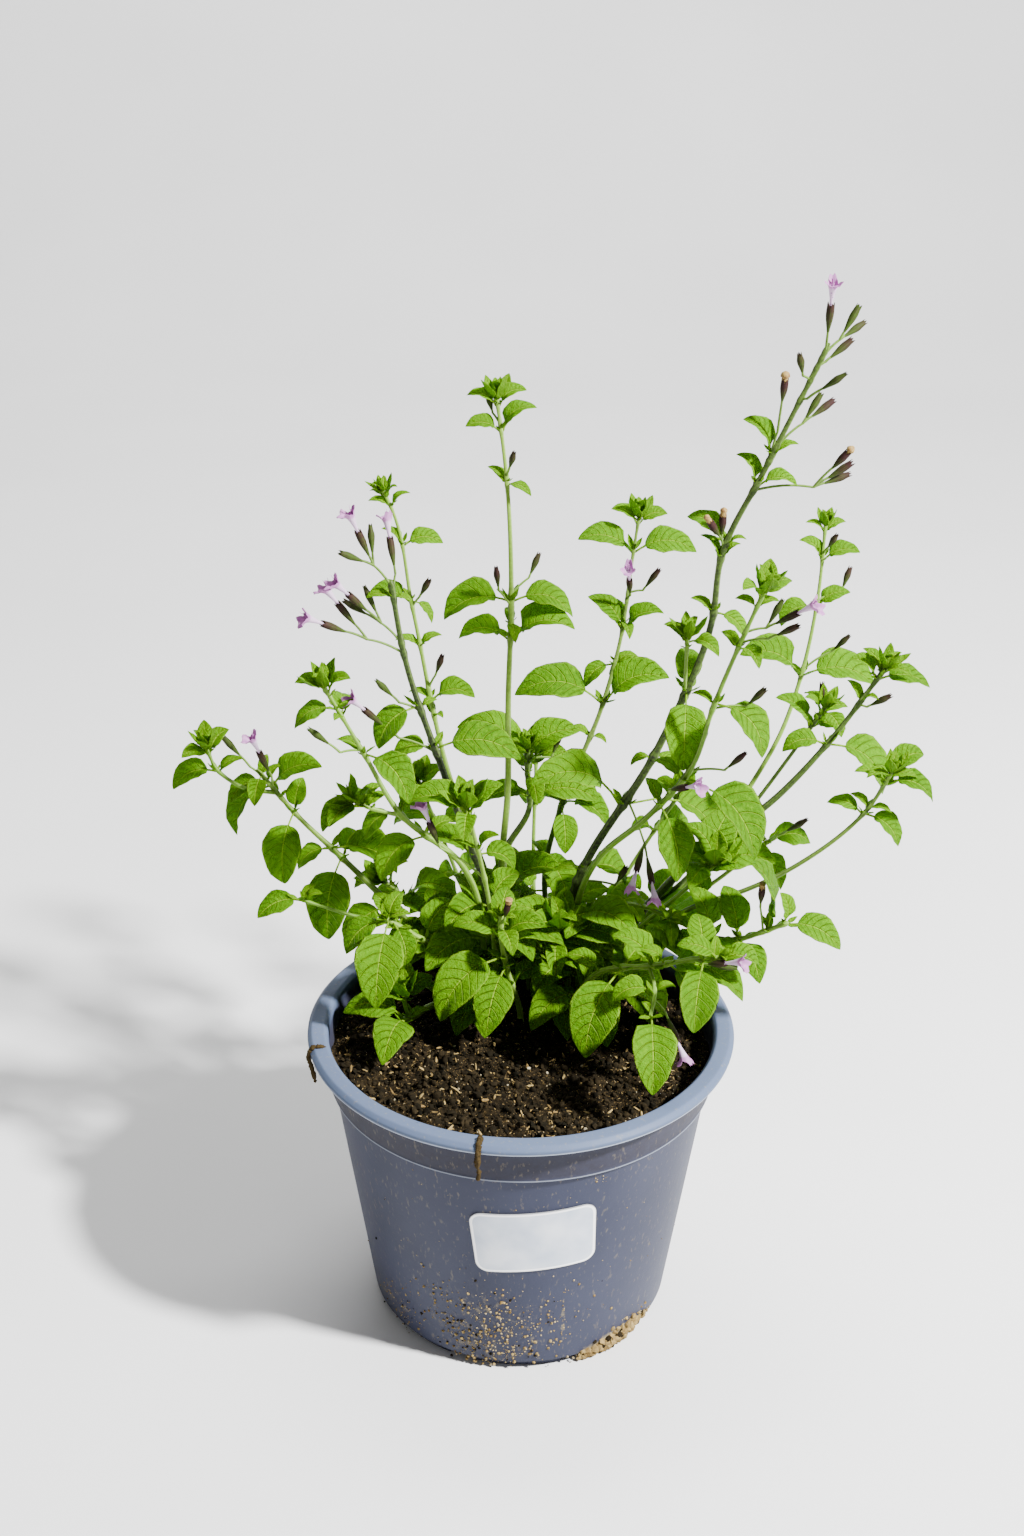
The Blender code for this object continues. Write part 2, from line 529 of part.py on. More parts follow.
def build_label(collection):
    """A thin bare sticker with round corners, bent to the wall and standing just off it."""
    corner = [0.5 * LABEL_WIDTH - LABEL_CORNER * (1 - math.sin(math.radians(a))) for a in (90, 60, 30, 0)]
    between = [share * corner[-1] for share in (-0.67, -0.33, 0.0, 0.33, 0.67)]
    marks = [-across for across in corner] + between + corner[::-1]
    bm = bmesh.new()
    columns = []
    for across in marks:
        over = max(abs(across) - 0.5 * LABEL_WIDTH + LABEL_CORNER, 0.0)
        high = 0.5 * LABEL_HEIGHT - LABEL_CORNER + math.sqrt(LABEL_CORNER**2 - over**2)
        columns.append([bm.verts.new(on_wall(across, up, SEAT)) for up in (-high, high)])
    for left, right in zip(columns, columns[1:]):
        bm.faces.new([left[0], right[0], right[1], left[1]])
    mesh = bpy.data.meshes.new("label")
    bm.to_mesh(mesh)
    bm.free()
    label = add_object("label", mesh, collection, material("label film", LABEL_WHITE, 0.35))
    solid = label.modifiers.new("thickness", "SOLIDIFY")
    solid.thickness = LABEL_THICK * MM
    solid.offset = 1.0
    return label


def smooth_route(points, per_span=12):
    """Closely listed points of a smooth curve through the given points, in mm."""
    p = np.array(points, dtype=float)
    legs = np.linalg.norm(np.diff(p, axis=0), axis=1)
    slopes = np.gradient(p, np.concatenate([[0.0], np.cumsum(legs)]), axis=0)
    t = np.linspace(0, 1, per_span, endpoint=False)[:, None]
    spans = []
    for a, b, leg, leaving, arriving in zip(p, p[1:], legs, slopes, slopes[1:]):
        blend = 3 * t**2 - 2 * t**3
        bulge = leg * ((t - 2 * t**2 + t**3) * leaving + (t**3 - t**2) * arriving)
        spans.append((1 - blend) * a + blend * b + bulge)
    return np.vstack(spans + [p[-1:]])


class Route:
    """A stem's smooth line, measured in mm of length from its root."""

    def __init__(self, points, thick):
        self.line = smooth_route(points)
        steps = np.linalg.norm(np.diff(self.line, axis=0), axis=1)
        self.marks = np.concatenate([[0.0], np.cumsum(steps)])
        self.length = float(self.marks[-1])
        self.thick = thick

    def at(self, distance):
        return Vector([float(np.interp(distance, self.marks, self.line[:, k])) for k in range(3)])

    def along(self, distance):
        return (self.at(min(distance + 1.5, self.length)) - self.at(max(distance - 1.5, 0.0))).normalized()

    def half(self, distance):
        """Half width of the square stem, a little under its thickness over the corners."""
        share = (distance / self.length) ** 1.2
        return STEM_SQUARE * (self.thick[0] + (self.thick[1] - self.thick[0]) * share)

    def away_from(self, point, room, push):
        """The point moved along push until it is room away from the stem's middle line."""
        while np.linalg.norm(self.line - np.array(point), axis=1).min() < room:
            point = point + 0.5 * push
        return point


def compass(turn):
    return Vector((math.cos(math.radians(turn)), math.sin(math.radians(turn)), 0.0))


def square(centre, tangent, hint, half):
    """Corners of a square section across a tangent, and the direction of its first axis."""
    u = (hint - tangent * hint.dot(tangent)).normalized()
    v = tangent.cross(u)
    return [centre + half * (a * u + b * v) for a, b in ((-1, -1), (1, -1), (1, 1), (-1, 1))], u


def aligned(face, corners):
    """The four corners in the cyclic order that twists the face least."""
    now = [vertex.co / MM for vertex in face.verts]
    orders = [corners[k:] + corners[:k] for k in range(4)]
    return min(orders, key=lambda order: sum((a - b).length for a, b in zip(now, order)))


def extend(bm, face, corners):
    """Extrudes a four-sided face to new corners in mm; gives the end face and its four side faces."""
    end = bmesh.ops.extrude_discrete_faces(bm, faces=[face])["faces"][0]
    for vertex, place in zip(end.verts, corners):
        vertex.co = place * MM
    return end, [loop.link_loop_radial_next.face for loop in end.loops]


def facing(faces, direction):
    """The face whose outward side looks most nearly in a direction."""
    for face in faces:
        face.normal_update()
    return max(faces, key=lambda face: face.normal.dot(direction))


Leaf = namedtuple("Leaf", "root turn reach rise width")


def blade_shape(along):
    """Half width of an ovate blade at a share of its length, as a share of its widest half width."""
    return 2.2 * along**0.45 * (1 - along) ** 0.74


def leaf_spine(leaf, share):
    """Point and direction on the midrib: an arched curve from the stem to the leaf's tip."""
    out = compass(leaf.turn)
    upward = Vector((0, 0, 1))
    chord = leaf.reach * out + leaf.rise * upward
    middle = 0.5 * chord + 2 * LEAF_BOW * (leaf.reach * upward - leaf.rise * out)
    point = leaf.root + 2 * share * (1 - share) * middle + share**2 * chord
    tangent = 2 * (1 - 2 * share) * middle + 2 * share * chord
    return point, tangent.normalized()


def leaf_sections(leaf):
    """Cross sections of a folded, arched blade on its petiole, each bottom, left, top, right, and the tip."""
    length = math.hypot(leaf.reach, leaf.rise)
    petiole = max(PETIOLE_SHARE, 1 - BLADE_MOST / length)
    stations = next(marks for least, marks in BLADE_STATIONS if length >= least)
    rows = [(petiole, PETIOLE_WIDTH)] if length >= PETIOLE_FROM else []
    rows += [(petiole + (1 - petiole) * q, 0.5 * leaf.width * blade_shape(q)) for q in stations]
    thick = min(LEAF_THICK, 0.7 + 0.02 * length)
    level = Vector((-math.sin(math.radians(leaf.turn)), math.cos(math.radians(leaf.turn)), 0.0))
    fold = math.radians(LEAF_FOLD)
    sections = []
    for share, wide in rows:
        point, tangent = leaf_spine(leaf, share)
        pull = LIGHT_PULL * min(3 * share, 1)
        up = (1 - pull) * tangent.cross(level) + pull * Vector(LIGHT_SIDE)
        up = (up - tangent * up.dot(tangent)).normalized()
        side = up.cross(tangent)
        raised = point + up * wide * math.sin(fold)
        out = side * wide * math.cos(fold)
        sections.append([point - up * thick * 0.5, raised + out, point + up * thick * 0.5, raised - out])
    return sections, leaf_spine(leaf, 1.0)[0]


def leaf_tube(face, leaf):
    """A leaf's sections in the order of the face it springs from, that order's shift, and the tip."""
    sections, tip = leaf_sections(leaf)
    shift = sections[0].index(aligned(face, sections[0])[0])
    return [corners[shift:] + corners[:shift] for corners in sections], shift, tip


def extrude_leaf(bm, face, leaf):
    """Draws a leaf out of a face of the stem to a point at its tip, with both its faces split alike."""
    sections, shift, tip = leaf_tube(face, leaf)
    for number, corners in enumerate(sections):
        face, sides = extend(bm, face, corners)
        if number:
            for k, (loop, side) in enumerate(zip(list(face.loops), sides)):
                ends = [loop.vert, loop.link_loop_next.vert]
                split_from_margin(side, ends[(shift + k) % 2])
    face, _ = extend(bm, face, corners)
    bmesh.ops.pointmerge(bm, verts=face.verts, merge_co=tip * MM)


def split_from_margin(side, middle):
    """Cuts a blade quad from its midrib corner ahead to the margin corner across from it."""
    corners = list(side.verts)
    bmesh.utils.face_split(side, middle, corners[(corners.index(middle) + 2) % 4])


Piece = namedtuple("Piece", "owner low high tree corners points outer outer_points")


def piece_of(owner, points, faces, outer=None):
    """A surface made ready for distance tests: box, search tree and sample points, whole and outer part."""
    box = np.array(points)
    outer = outer or faces
    corners = [{tuple(round(c, 2) for c in points[i]) for i in face} for face in faces]
    return Piece(owner, box.min(axis=0), box.max(axis=0), BVHTree.FromPolygons(points, faces), corners,
                 samples(points, faces), BVHTree.FromPolygons(points, outer), samples(points, outer))


def tube_piece(owner, sections, tip=None, rooted=False):
    """The piece between four-sided sections; of a rooted one the first part is left out of the outer part."""
    points = [corner for section in sections for corner in section]
    faces = [(4 * i + k, 4 * i + (k + 1) % 4, 4 * i + 4 + (k + 1) % 4, 4 * i + 4 + k)
             for i in range(len(sections) - 1) for k in range(4)]
    if tip is not None:
        base = len(points) - 4
        points = points + [tip]
        faces += [(base + k, base + (k + 1) % 4, base + 4) for k in range(4)]
    return piece_of(owner, points, faces, faces[4:] if rooted and len(faces) > 4 else None)


def samples(points, faces):
    """Corners, side middles and centres of faces."""
    found = []
    for face in faces:
        corners = [points[i] for i in face]
        found += [corners[0], 0.5 * (corners[0] + corners[1]), 0.5 * (corners[0] + corners[-1])]
        found.append(sum(corners, Vector()) / len(corners))
    return found


def near(tree, points, gap):
    return any(tree.find_nearest(point, gap)[0] for point in points)


def crosses(piece, other):
    """Whether faces of the two pieces meet that have no corner in common."""
    pairs = piece.tree.overlap(other.tree)
    return any(not piece.corners[mine] & other.corners[theirs] for mine, theirs in pairs)


def is_clear(piece, others):
    """Whether a piece keeps clear of every other one; on its own stem only the outer parts count."""
    for other in others:
        if np.any(piece.low > other.high + LEAF_CLEAR) or np.any(other.low > piece.high + LEAF_CLEAR):
            continue
        if other.owner == piece.owner:
            if crosses(piece, other) or near(other.outer, piece.outer_points, OWN_CLEAR):
                return False
            if near(piece.outer, other.outer_points, OWN_CLEAR):
                return False
        elif piece.tree.overlap(other.tree) or near(other.tree, piece.points, LEAF_CLEAR):
            return False
        elif near(piece.tree, other.points, LEAF_CLEAR):
            return False
    return True


def bends():
    """Small turns, lifts and shrinkings to try on a leaf, the gentlest first."""
    options = [
        (turn, lift, size)
        for size in (1.0, 0.88, 0.75, 0.62, 0.5)
        for lift in (0, 12, -12, 24, -24)
        for turn in (0, 10, -10, 20, -20, 32, -32)
    ]
    return sorted(options, key=lambda option: abs(option[0]) + abs(option[1]) + 110 * (1 - option[2]))


def bent(leaf, turn, lift, size):
    length = math.hypot(leaf.reach, leaf.rise) * size
    angle = min(max(math.atan2(leaf.rise, leaf.reach) + math.radians(lift), -1.45), 1.45)
    return leaf._replace(
        turn=leaf.turn + turn,
        reach=length * math.cos(angle),
        rise=length * math.sin(angle),
        width=leaf.width * size,
    )


def leaf_of(route, distance, turn, reach, rise):
    """A leaf with its root on the stem's surface and its tip at a reach and rise from the stem."""
    skin = route.half(distance)
    width = LEAF_WIDTH * min(math.hypot(reach, rise) * (1 - PETIOLE_SHARE), BLADE_MOST)
    return Leaf(route.at(distance) + compass(turn) * skin, turn, max(reach - skin, 1.5), rise, width)


def tuft_of(route, size):
    """Crossed pairs of small leaves at the tip of a stem, each shorter and steeper than the last."""
    axis = (route.along(route.length) + TUFT_UPRIGHT * Vector((0, 0, 1))).normalized()
    start = 37.0 * route.at(0.5 * route.length)[0] % 90 - 45
    found = []
    for level, (share, lift) in enumerate(TUFT_LEVELS):
        here = route.length - TIP_MARGIN - NODE_ROOM * (len(TUFT_LEVELS) - 1 - level)
        spread = compass(start + 90 * level)
        spread = (spread - axis * spread.dot(axis)).normalized()
        pair = []
        for side in (spread, -spread):
            way = size * share * (axis * math.sin(math.radians(lift)) + side * math.cos(math.radians(lift)))
            turn = math.degrees(math.atan2(way.y, way.x))
            pair.append(leaf_of(route, here, turn, math.hypot(way.x, way.y), way.z))
        found.append((here, pair))
    return found


def load_of(route, table, branches):
    """What a stem carries, each thing with the place it wants along the stem."""
    load = []
    for share, turn, first, second in table.pairs:
        here = share * route.length
        load.append((here, [leaf_of(route, here, turn, *first), leaf_of(route, here, turn + 180, *second)]))
    load += [(share * route.length, (step, ends)) for share, step, ends in table.cymes]
    load += [(branch.share * route.length, branch) for branch in branches]
    if table.tuft:
        load += tuft_of(route, table.tuft)
    return load


def spaced(load, length):
    """The nodes of a stem moved down, from its tip, until each has room for its rings."""
    placed = []
    limit = length - TIP_MARGIN
    for wish, thing in sorted(load, key=lambda item: -item[0]):
        limit = min(wish, limit)
        placed.append((limit, thing))
        limit -= NODE_ROOM
    return placed[::-1]


def flower_marks(mouth, step, kind):
    """Centre and half width of each section of a calyx, with the withered petals of a dry flower."""
    tangent = step.normalized()
    length = min(CALYX_LENGTH, CALYX_SHARE * step.length)
    back = DRY_LENGTH if kind == "dry" else 0.0
    marks = [(length, STALK_HALF), (back + 0.45 * (length - back), CALYX_HALF), (back, 0.85 * CALYX_HALF)]
    if kind == "dry":
        marks += [(0.45 * back, 1.2 * CALYX_HALF), (0.0, 0.6 * CALYX_HALF)]
    return [(mouth - tangent * behind, half) for behind, half in marks]


class Grower:
    """Grows one shoot as a single mesh, drawing each limb, flower and leaf out of the face it springs from."""

    def __init__(self, owner):
        self.owner = owner
        self.bm = bmesh.new()
        self.pieces = []
        self.leaves = []
        self.mouths = []
        shoot = SHOOTS[owner]
        x, y = shoot.spot
        foot = [(x, y, SOIL_HEIGHT - HOLE_DEPTH + SEAT), (x, y, SOIL_HEIGHT + 2)]
        route = Route(foot + shoot.route, shoot.thick)
        corners, hint = square(route.at(0), Vector((0, 0, 1)), Vector((1, 0, 0)), route.half(0))
        face = self.bm.faces.new([self.bm.verts.new(corner * MM) for corner in corners])
        branches = [branch for branch in BRANCHES if branch.parent == owner]
        self.limb(face, route, hint, shoot, branches, [corners])
        bmesh.ops.holes_fill(self.bm, edges=[edge for edge in self.bm.edges if edge.is_boundary], sides=4)

    def draw(self, face, marks, hint):
        """Extrudes a face through square sections, given by centre, direction and half width."""
        sections = []
        sides = []
        for centre, tangent, half in marks:
            corners, hint = square(centre, tangent, hint, half)
            corners = aligned(face, corners)
            sections.append(corners)
            face, sides = extend(self.bm, face, corners)
        return face, sections, sides, hint

    def limb(self, face, route, hint, table, branches, sections):
        """A square stem in rings: a close pair at each node, and single ones where the stem bends."""
        nodes = spaced(load_of(route, table, branches), route.length)
        plain = np.arange(FOOT_BARE, route.length - TIP_BARE, RING_SPACING)
        stops = [(float(here), None) for here in plain
                 if all(abs(here - node[0]) > RING_TO_NODE for node in nodes)]
        filled = []
        for here, thing in sorted(stops + nodes, key=lambda item: item[0]):
            rings = [here] if thing is None else [here - NODE_HALF, here + NODE_HALF]
            marks = [(route.at(ring), route.along(ring), route.half(ring)) for ring in rings]
            face, drawn, sides, hint = self.draw(face, marks, hint)
            sections += drawn
            if thing is not None:
                filled.append((here, thing, sides))
        end = [(route.at(route.length), route.along(route.length), 0.6 * route.half(route.length))]
        face, drawn, _, hint = self.draw(face, end, hint)
        self.pieces.append(tube_piece(self.owner, sections + drawn))
        for here, thing, sides in filled:
            if isinstance(thing, Branch):
                self.side_limb(route, here, thing, sides, hint)
            elif isinstance(thing, list):
                for leaf in thing:
                    side = facing(sides, compass(leaf.turn))
                    sides.remove(side)
                    self.leaves.append((side, leaf))
            else:
                self.cyme(route, here, *thing, sides, hint)

    def side_limb(self, parent, here, branch, sides, hint):
        start = parent.at(here)
        route = Route([start] + branch.route, branch.thick)
        face = facing(sides, route.along(3.0))
        self.limb(face, route, hint, branch, [], [])

    def cyme(self, stem, here, fork_step, ends, sides, hint):
        """A flower cluster: a stalk to its fork, then a calyx on its own stalk for each mouth."""
        start = stem.at(here)
        push = Vector(fork_step) + 0.2 * sum((Vector(end[:3]) for end in ends), Vector())
        push.z = 0.0
        room = stem.half(here) * 1.5 + STALK_HALF + 0.4
        fork = stem.away_from(start + Vector(fork_step), room, push.normalized())
        way = (fork - start).normalized()
        marks = [(fork, way, STALK_HALF)]
        if len(ends) > 1:
            marks.append((fork + way * FORK_LENGTH, way, STALK_HALF))
        face, stalk, branches, hint = self.draw(facing(sides, way), marks, hint)
        if len(stalk) > 1:
            self.pieces.append(tube_piece(self.owner, stalk))
        free = [face] + branches
        for x, y, z, kind in ends:
            step = Vector((x, y, z))
            root = facing(free, step) if len(ends) > 1 else face
            free.remove(root)
            mouth = fork + step
            tangent = step.normalized()
            marks = [(centre, tangent, half) for centre, half in flower_marks(mouth, step, kind)]
            _, drawn, _, _ = self.draw(root, marks, hint)
            self.pieces.append(tube_piece(self.owner, drawn))
            if kind == "open":
                self.mouths.append((mouth, tangent))

    def finish(self, collection):
        mesh = bpy.data.meshes.new(self.owner)
        bmesh.ops.triangulate(self.bm, faces=self.bm.faces)
        bmesh.ops.recalc_face_normals(self.bm, faces=self.bm.faces)
        self.bm.to_mesh(mesh)
        self.bm.free()
        add_object(self.owner, mesh, collection, material("leaf and stem", LEAF_GREEN, 0.55))


def build_corolla(name, mouth, way, collection):
    """Two-lipped petal body just off its calyx: a flared tube, a narrow upper and a broad lower lip."""
    across = Vector((1, 0, 0)) if abs(way.z) > 0.99 else Vector((0, 0, 1)).cross(way).normalized()
    up = way.cross(across).normalized()
    root = mouth + way * (SEAT + 0.05)

    def drawn(face, rows):
        """Extrudes a face through flattened sections: forward, up, half height, half width and tip angle."""
        for forward, raised, high, wide, angle in rows:
            lift = math.radians(angle)
            rise = high * (up * math.cos(lift) - way * math.sin(lift))
            centre = root + forward * way + raised * up
            out = wide * across
            corners = [centre - out - rise, centre + out - rise, centre + out + rise, centre - out + rise]
            face, sides = extend(bm, face, aligned(face, corners))
        return face, sides

    bm = bmesh.new()
    corners = [root + 0.5 * (a * across + b * up) for a, b in ((-1, -1), (1, -1), (1, 1), (-1, 1))]
    face = bm.faces.new([bm.verts.new(corner * MM) for corner in corners])
    face, sides = drawn(face, COROLLA_TUBE)
    drawn(facing(sides, up), UPPER_LIP)
    drawn(face, LOWER_LIP)
    bmesh.ops.holes_fill(bm, edges=[edge for edge in bm.edges if edge.is_boundary], sides=4)
    bmesh.ops.triangulate(bm, faces=bm.faces)
    bmesh.ops.recalc_face_normals(bm, faces=bm.faces)
    mesh = bpy.data.meshes.new(name)
    bm.to_mesh(mesh)
    bm.free()
    add_object(name, mesh, collection, material("corolla", LILAC, 0.5))
    points = [vertex.co / MM for vertex in mesh.vertices]
    return piece_of(name, points, [tuple(face.vertices) for face in mesh.polygons])


def build_shoots(collection):
    """Stems and flowers first, then the leaves from the longest down, each bent clear of the rest."""
    growers = {name: Grower(name) for name in SHOOTS}
    pieces = [piece for grower in growers.values() for piece in grower.pieces]
    mouths = [mouth for grower in growers.values() for mouth in grower.mouths]
    for number, (mouth, way) in enumerate(mouths, 1):
        pieces.append(build_corolla(f"corolla_{number}", mouth, way, collection))
    wanted = [(grower, face, leaf) for grower in growers.values() for face, leaf in grower.leaves]
    wanted.sort(key=lambda item: -math.hypot(item[2].reach, item[2].rise))
    options = bends()
    for grower, face, leaf in wanted:
        root = [vertex.co / MM for vertex in face.verts]
        for option in options:
            tried = bent(leaf, *option)
            sections, _, tip = leaf_tube(face, tried)
            piece = tube_piece(grower.owner, [root] + sections, tip, rooted=True)
            if is_clear(piece, pieces):
                extrude_leaf(grower.bm, face, tried)
                pieces.append(piece)
                break
    for grower in growers.values():
        grower.finish(collection)


def main():
    clear_scene()
    plant = new_collection("potted calamint")
    pot_cutters = new_collection("pot cutters")
    soil_cutters = new_collection("soil cutters")
    build_pot(plant, pot_cutters)
    build_soil(plant, soil_cutters)
    build_label(plant)
    build_shoots(plant)
    for name in ("pot", "label"):
        mesh = plant.objects[name].data
        mesh.shade_smooth()
        mesh.set_sharp_from_angle(angle=math.radians(SMOOTH_BELOW))


if __name__ == "__main__":
    main()
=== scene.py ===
"""Potted calamint, dressed: fine leaves, stems, calyces, petals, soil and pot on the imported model.

Metres, +Z up, +X to the viewer's right and +Y away from the viewer. Lengths in the tables and in
the shape functions are millimetres, and angles are degrees unless a name says otherwise.
"""

import json
import math
from collections import namedtuple

import bpy
import numpy as np
from mathutils import Matrix, Vector

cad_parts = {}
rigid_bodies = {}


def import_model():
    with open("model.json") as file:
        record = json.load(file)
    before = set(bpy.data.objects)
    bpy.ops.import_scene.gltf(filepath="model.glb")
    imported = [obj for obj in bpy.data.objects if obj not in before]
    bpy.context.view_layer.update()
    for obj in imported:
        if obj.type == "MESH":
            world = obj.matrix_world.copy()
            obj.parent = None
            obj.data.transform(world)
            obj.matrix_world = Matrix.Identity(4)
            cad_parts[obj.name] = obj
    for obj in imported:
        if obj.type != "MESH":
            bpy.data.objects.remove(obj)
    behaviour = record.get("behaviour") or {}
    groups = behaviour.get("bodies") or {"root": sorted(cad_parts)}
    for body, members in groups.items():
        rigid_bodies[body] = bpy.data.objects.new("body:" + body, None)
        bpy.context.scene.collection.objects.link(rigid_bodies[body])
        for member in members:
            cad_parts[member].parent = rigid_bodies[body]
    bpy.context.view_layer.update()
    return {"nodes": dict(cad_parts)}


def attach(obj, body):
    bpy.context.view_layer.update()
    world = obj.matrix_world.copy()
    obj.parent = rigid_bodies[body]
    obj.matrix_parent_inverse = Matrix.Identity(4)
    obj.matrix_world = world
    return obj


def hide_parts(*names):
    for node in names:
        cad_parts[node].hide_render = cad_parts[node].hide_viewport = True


bl_info = {
    "name": "Potted Calamint",
    "version": (1, 0, 0),
    "blender": (4, 5, 0),
    "location": "View3D > Sidebar > Calamint",
    "description": "Builds a flowering calamint in its nursery pot around a packed model",
    "category": "Add Mesh",
}

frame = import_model()

MM = 0.001
UP = np.array([0.0, 0.0, 1.0])

# Pot: radii and heights of the turned profile
POT_HEIGHT = 125.0
RIM_RADIUS = 85.0
RIM_INNER_RADIUS = 76.8
RIM_LIP = 3.8
COLLAR_HEIGHT = 103.0
COLLAR_RADIUS = 76.9
WALL_TOP_RADIUS = 75.3
WALL_FOOT_RADIUS = 61.3
WALL_FOOT_HEIGHT = 4.0
WALL = 1.6
DISC_RADIUS = 33.0
FLOOR_RAISE = 3.0
FOOT_OUTER_RADIUS = 58.6
FOOT_INNER_RADIUS = 53.4
DRAIN_COUNT = 8
DRAIN_RADIUS = 4.5
DRAIN_CIRCLE = 44.0
FOOT_GAP_WIDTH = 11.0

# Soil
SOIL_HEIGHT = 113.0
SOIL_DIP = 1.0
SOIL_RELIEF = 1.3
HOLE_DEPTH = 12.0

# Label on the front of the wall
LABEL_WIDTH = 47.5
LABEL_HEIGHT = 30.5
LABEL_CORNER = 5.0
LABEL_THICK = 0.3
LABEL_MIDDLE_HEIGHT = 71.7
LABEL_ARC_OFFSET = 5.8
LABEL_TILT = 4.0
SEAT = 0.3

# Leaves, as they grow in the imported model
LEAF_WIDTH = 0.66
LEAF_BOW = 0.19
BLADE_MOST = 29.0
LIGHT_SIDE = np.array([0.30, -0.75, 0.59])
LIGHT_PULL = 0.5
PETIOLE_SHARE = 0.17
PETIOLE_FROM = 11.5
TUFT_LEVELS = ((1.0, 25), (0.75, 58))
TUFT_UPRIGHT = 0.5

# Flowers
CALYX_LENGTH = 9.0
CALYX_HALF = 1.15
STALK_HALF = 0.5
DRY_LENGTH = 4.0
CALYX_SHARE = 0.75

# Stems: half width as a share of the thickness, and the room that each node takes
STEM_SQUARE = 0.42
NODE_ROOM = 2.4
TIP_MARGIN = 0.8

# Camera: distance and lift over the rim's middle, turn and roll in degrees, lens on a 36 mm high film
VIEW_DISTANCE = 0.750
VIEW_LIFT = 32.8
VIEW_TARGET_HEIGHT = 0.125
VIEW_PITCH = 25.1
VIEW_TURN = 0.36
VIEW_ROLL = 0.25
LENS = 43.59
FILM = 36.0

# Dust on the front of the wall: across, height, half width and half height in mm, and strength
DUST_PATCHES = (
    (-12.0, 25.0, 30.0, 20.0, 0.22),
    (-14.0, 10.0, 22.0, 7.0, 0.27),
    (39.0, 4.0, 15.0, 6.0, 0.7),
    (17.4, 27.0, 1.0, 17.0, 0.34),
    (-50.0, 14.0, 9.0, 14.0, 0.26),
)
# Crumbs on the wall: across, height, width and height of the spot, how many, and the largest half width
DIRT_SPOTS = (
    (-12.0, 27.0, 34.0, 20.0, 360, 0.72),
    (-12.0, 13.0, 24.0, 13.0, 300, 0.85),
    (30.0, 2.5, 8.0, 2.5, 90, 1.6),
    (38.0, 4.0, 9.0, 4.0, 150, 2.3),
    (46.0, 7.5, 7.0, 5.0, 100, 1.9),
    (17.4, 27.0, 0.8, 18.0, 26, 0.36),
    (-49.0, 13.0, 9.0, 14.0, 90, 0.5),
    (-10.0, 55.0, 60.0, 60.0, 44, 0.3),
    (30.0, 60.0, 40.0, 60.0, 36, 0.34),
    (-39.9, 99.0, 1.0, 1.0, 3, 0.8),
    (-52.7, 73.8, 1.0, 1.0, 3, 0.7),
    (17.9, 43.2, 1.2, 1.0, 3, 1.0),
    (23.5, 45.5, 1.2, 1.0, 3, 0.7),
    (-6.6, 37.8, 1.4, 1.2, 4, 0.9),
    (30.0, 100.0, 6.0, 3.0, 7, 0.6),
)
# Root threads that hang over the rim: points in mm
STRANDS = (
    ((-13, -70, 112), (-14, -75, 121), (-14.5, -79, 125.6), (-15, -82.6, 125), (-15.3, -84, 122),
     (-15.6, -83.6, 117.5), (-14.6, -82.8, 112.5), (-15.2, -82, 108.5)),
    ((-14, -69, 112.5), (-13.6, -76, 122), (-14.1, -80, 125.5), (-14.5, -83.3, 123.6),
     (-14.8, -83.6, 119.5), (-15.4, -83.2, 114.5)),
    ((-13.4, -70, 112.5), (-14.4, -76, 122), (-14.9, -81, 125.4), (-15.5, -84, 122.4),
     (-15.1, -83.4, 116.5)),
    ((-72, -19, 114), (-77, -20.5, 124.8), (-80, -21, 125.6), (-82, -21.7, 124.4), (-82.6, -22, 121),
     (-81.6, -22.3, 116), (-80.6, -22.5, 110)),
    ((-73, -20, 113), (-78, -20.9, 125), (-80.6, -21.4, 125.3), (-82.2, -22, 123), (-82, -22.2, 118),
     (-80.9, -22.6, 112.5)),
)

# Studio light: name, place, point it shines at, width of the disc in metres and power in watts
WORLD_STRENGTH = 0.26
LIGHTS = (
    ("key", (1.05, -0.56, 1.29), (0.0, 0.0, 0.22), 0.14, 134.0),
    ("backdrop wash", (0.0, 0.9, 2.6), (0.0, 2.6, 0.9), 1.6, 90.0),
)

# A shoot grows from its spot in the soil through the points of its route, and thins from its first
# thickness to its second. Its tuft is the size of the leaves round its tip, or 0. A pair is two
# opposite leaves: the share of the stem where it sits, the compass turn of the first leaf (0 is +X,
# 90 is +Y), then reach and rise of each leaf's tip from the stem. A cyme is a flower cluster: its
# share, the step to its fork, and the step from there to each mouth.
Shoot = namedtuple("Shoot", "spot thick tuft route pairs cymes")
Branch = namedtuple("Branch", "parent share thick tuft route pairs cymes")

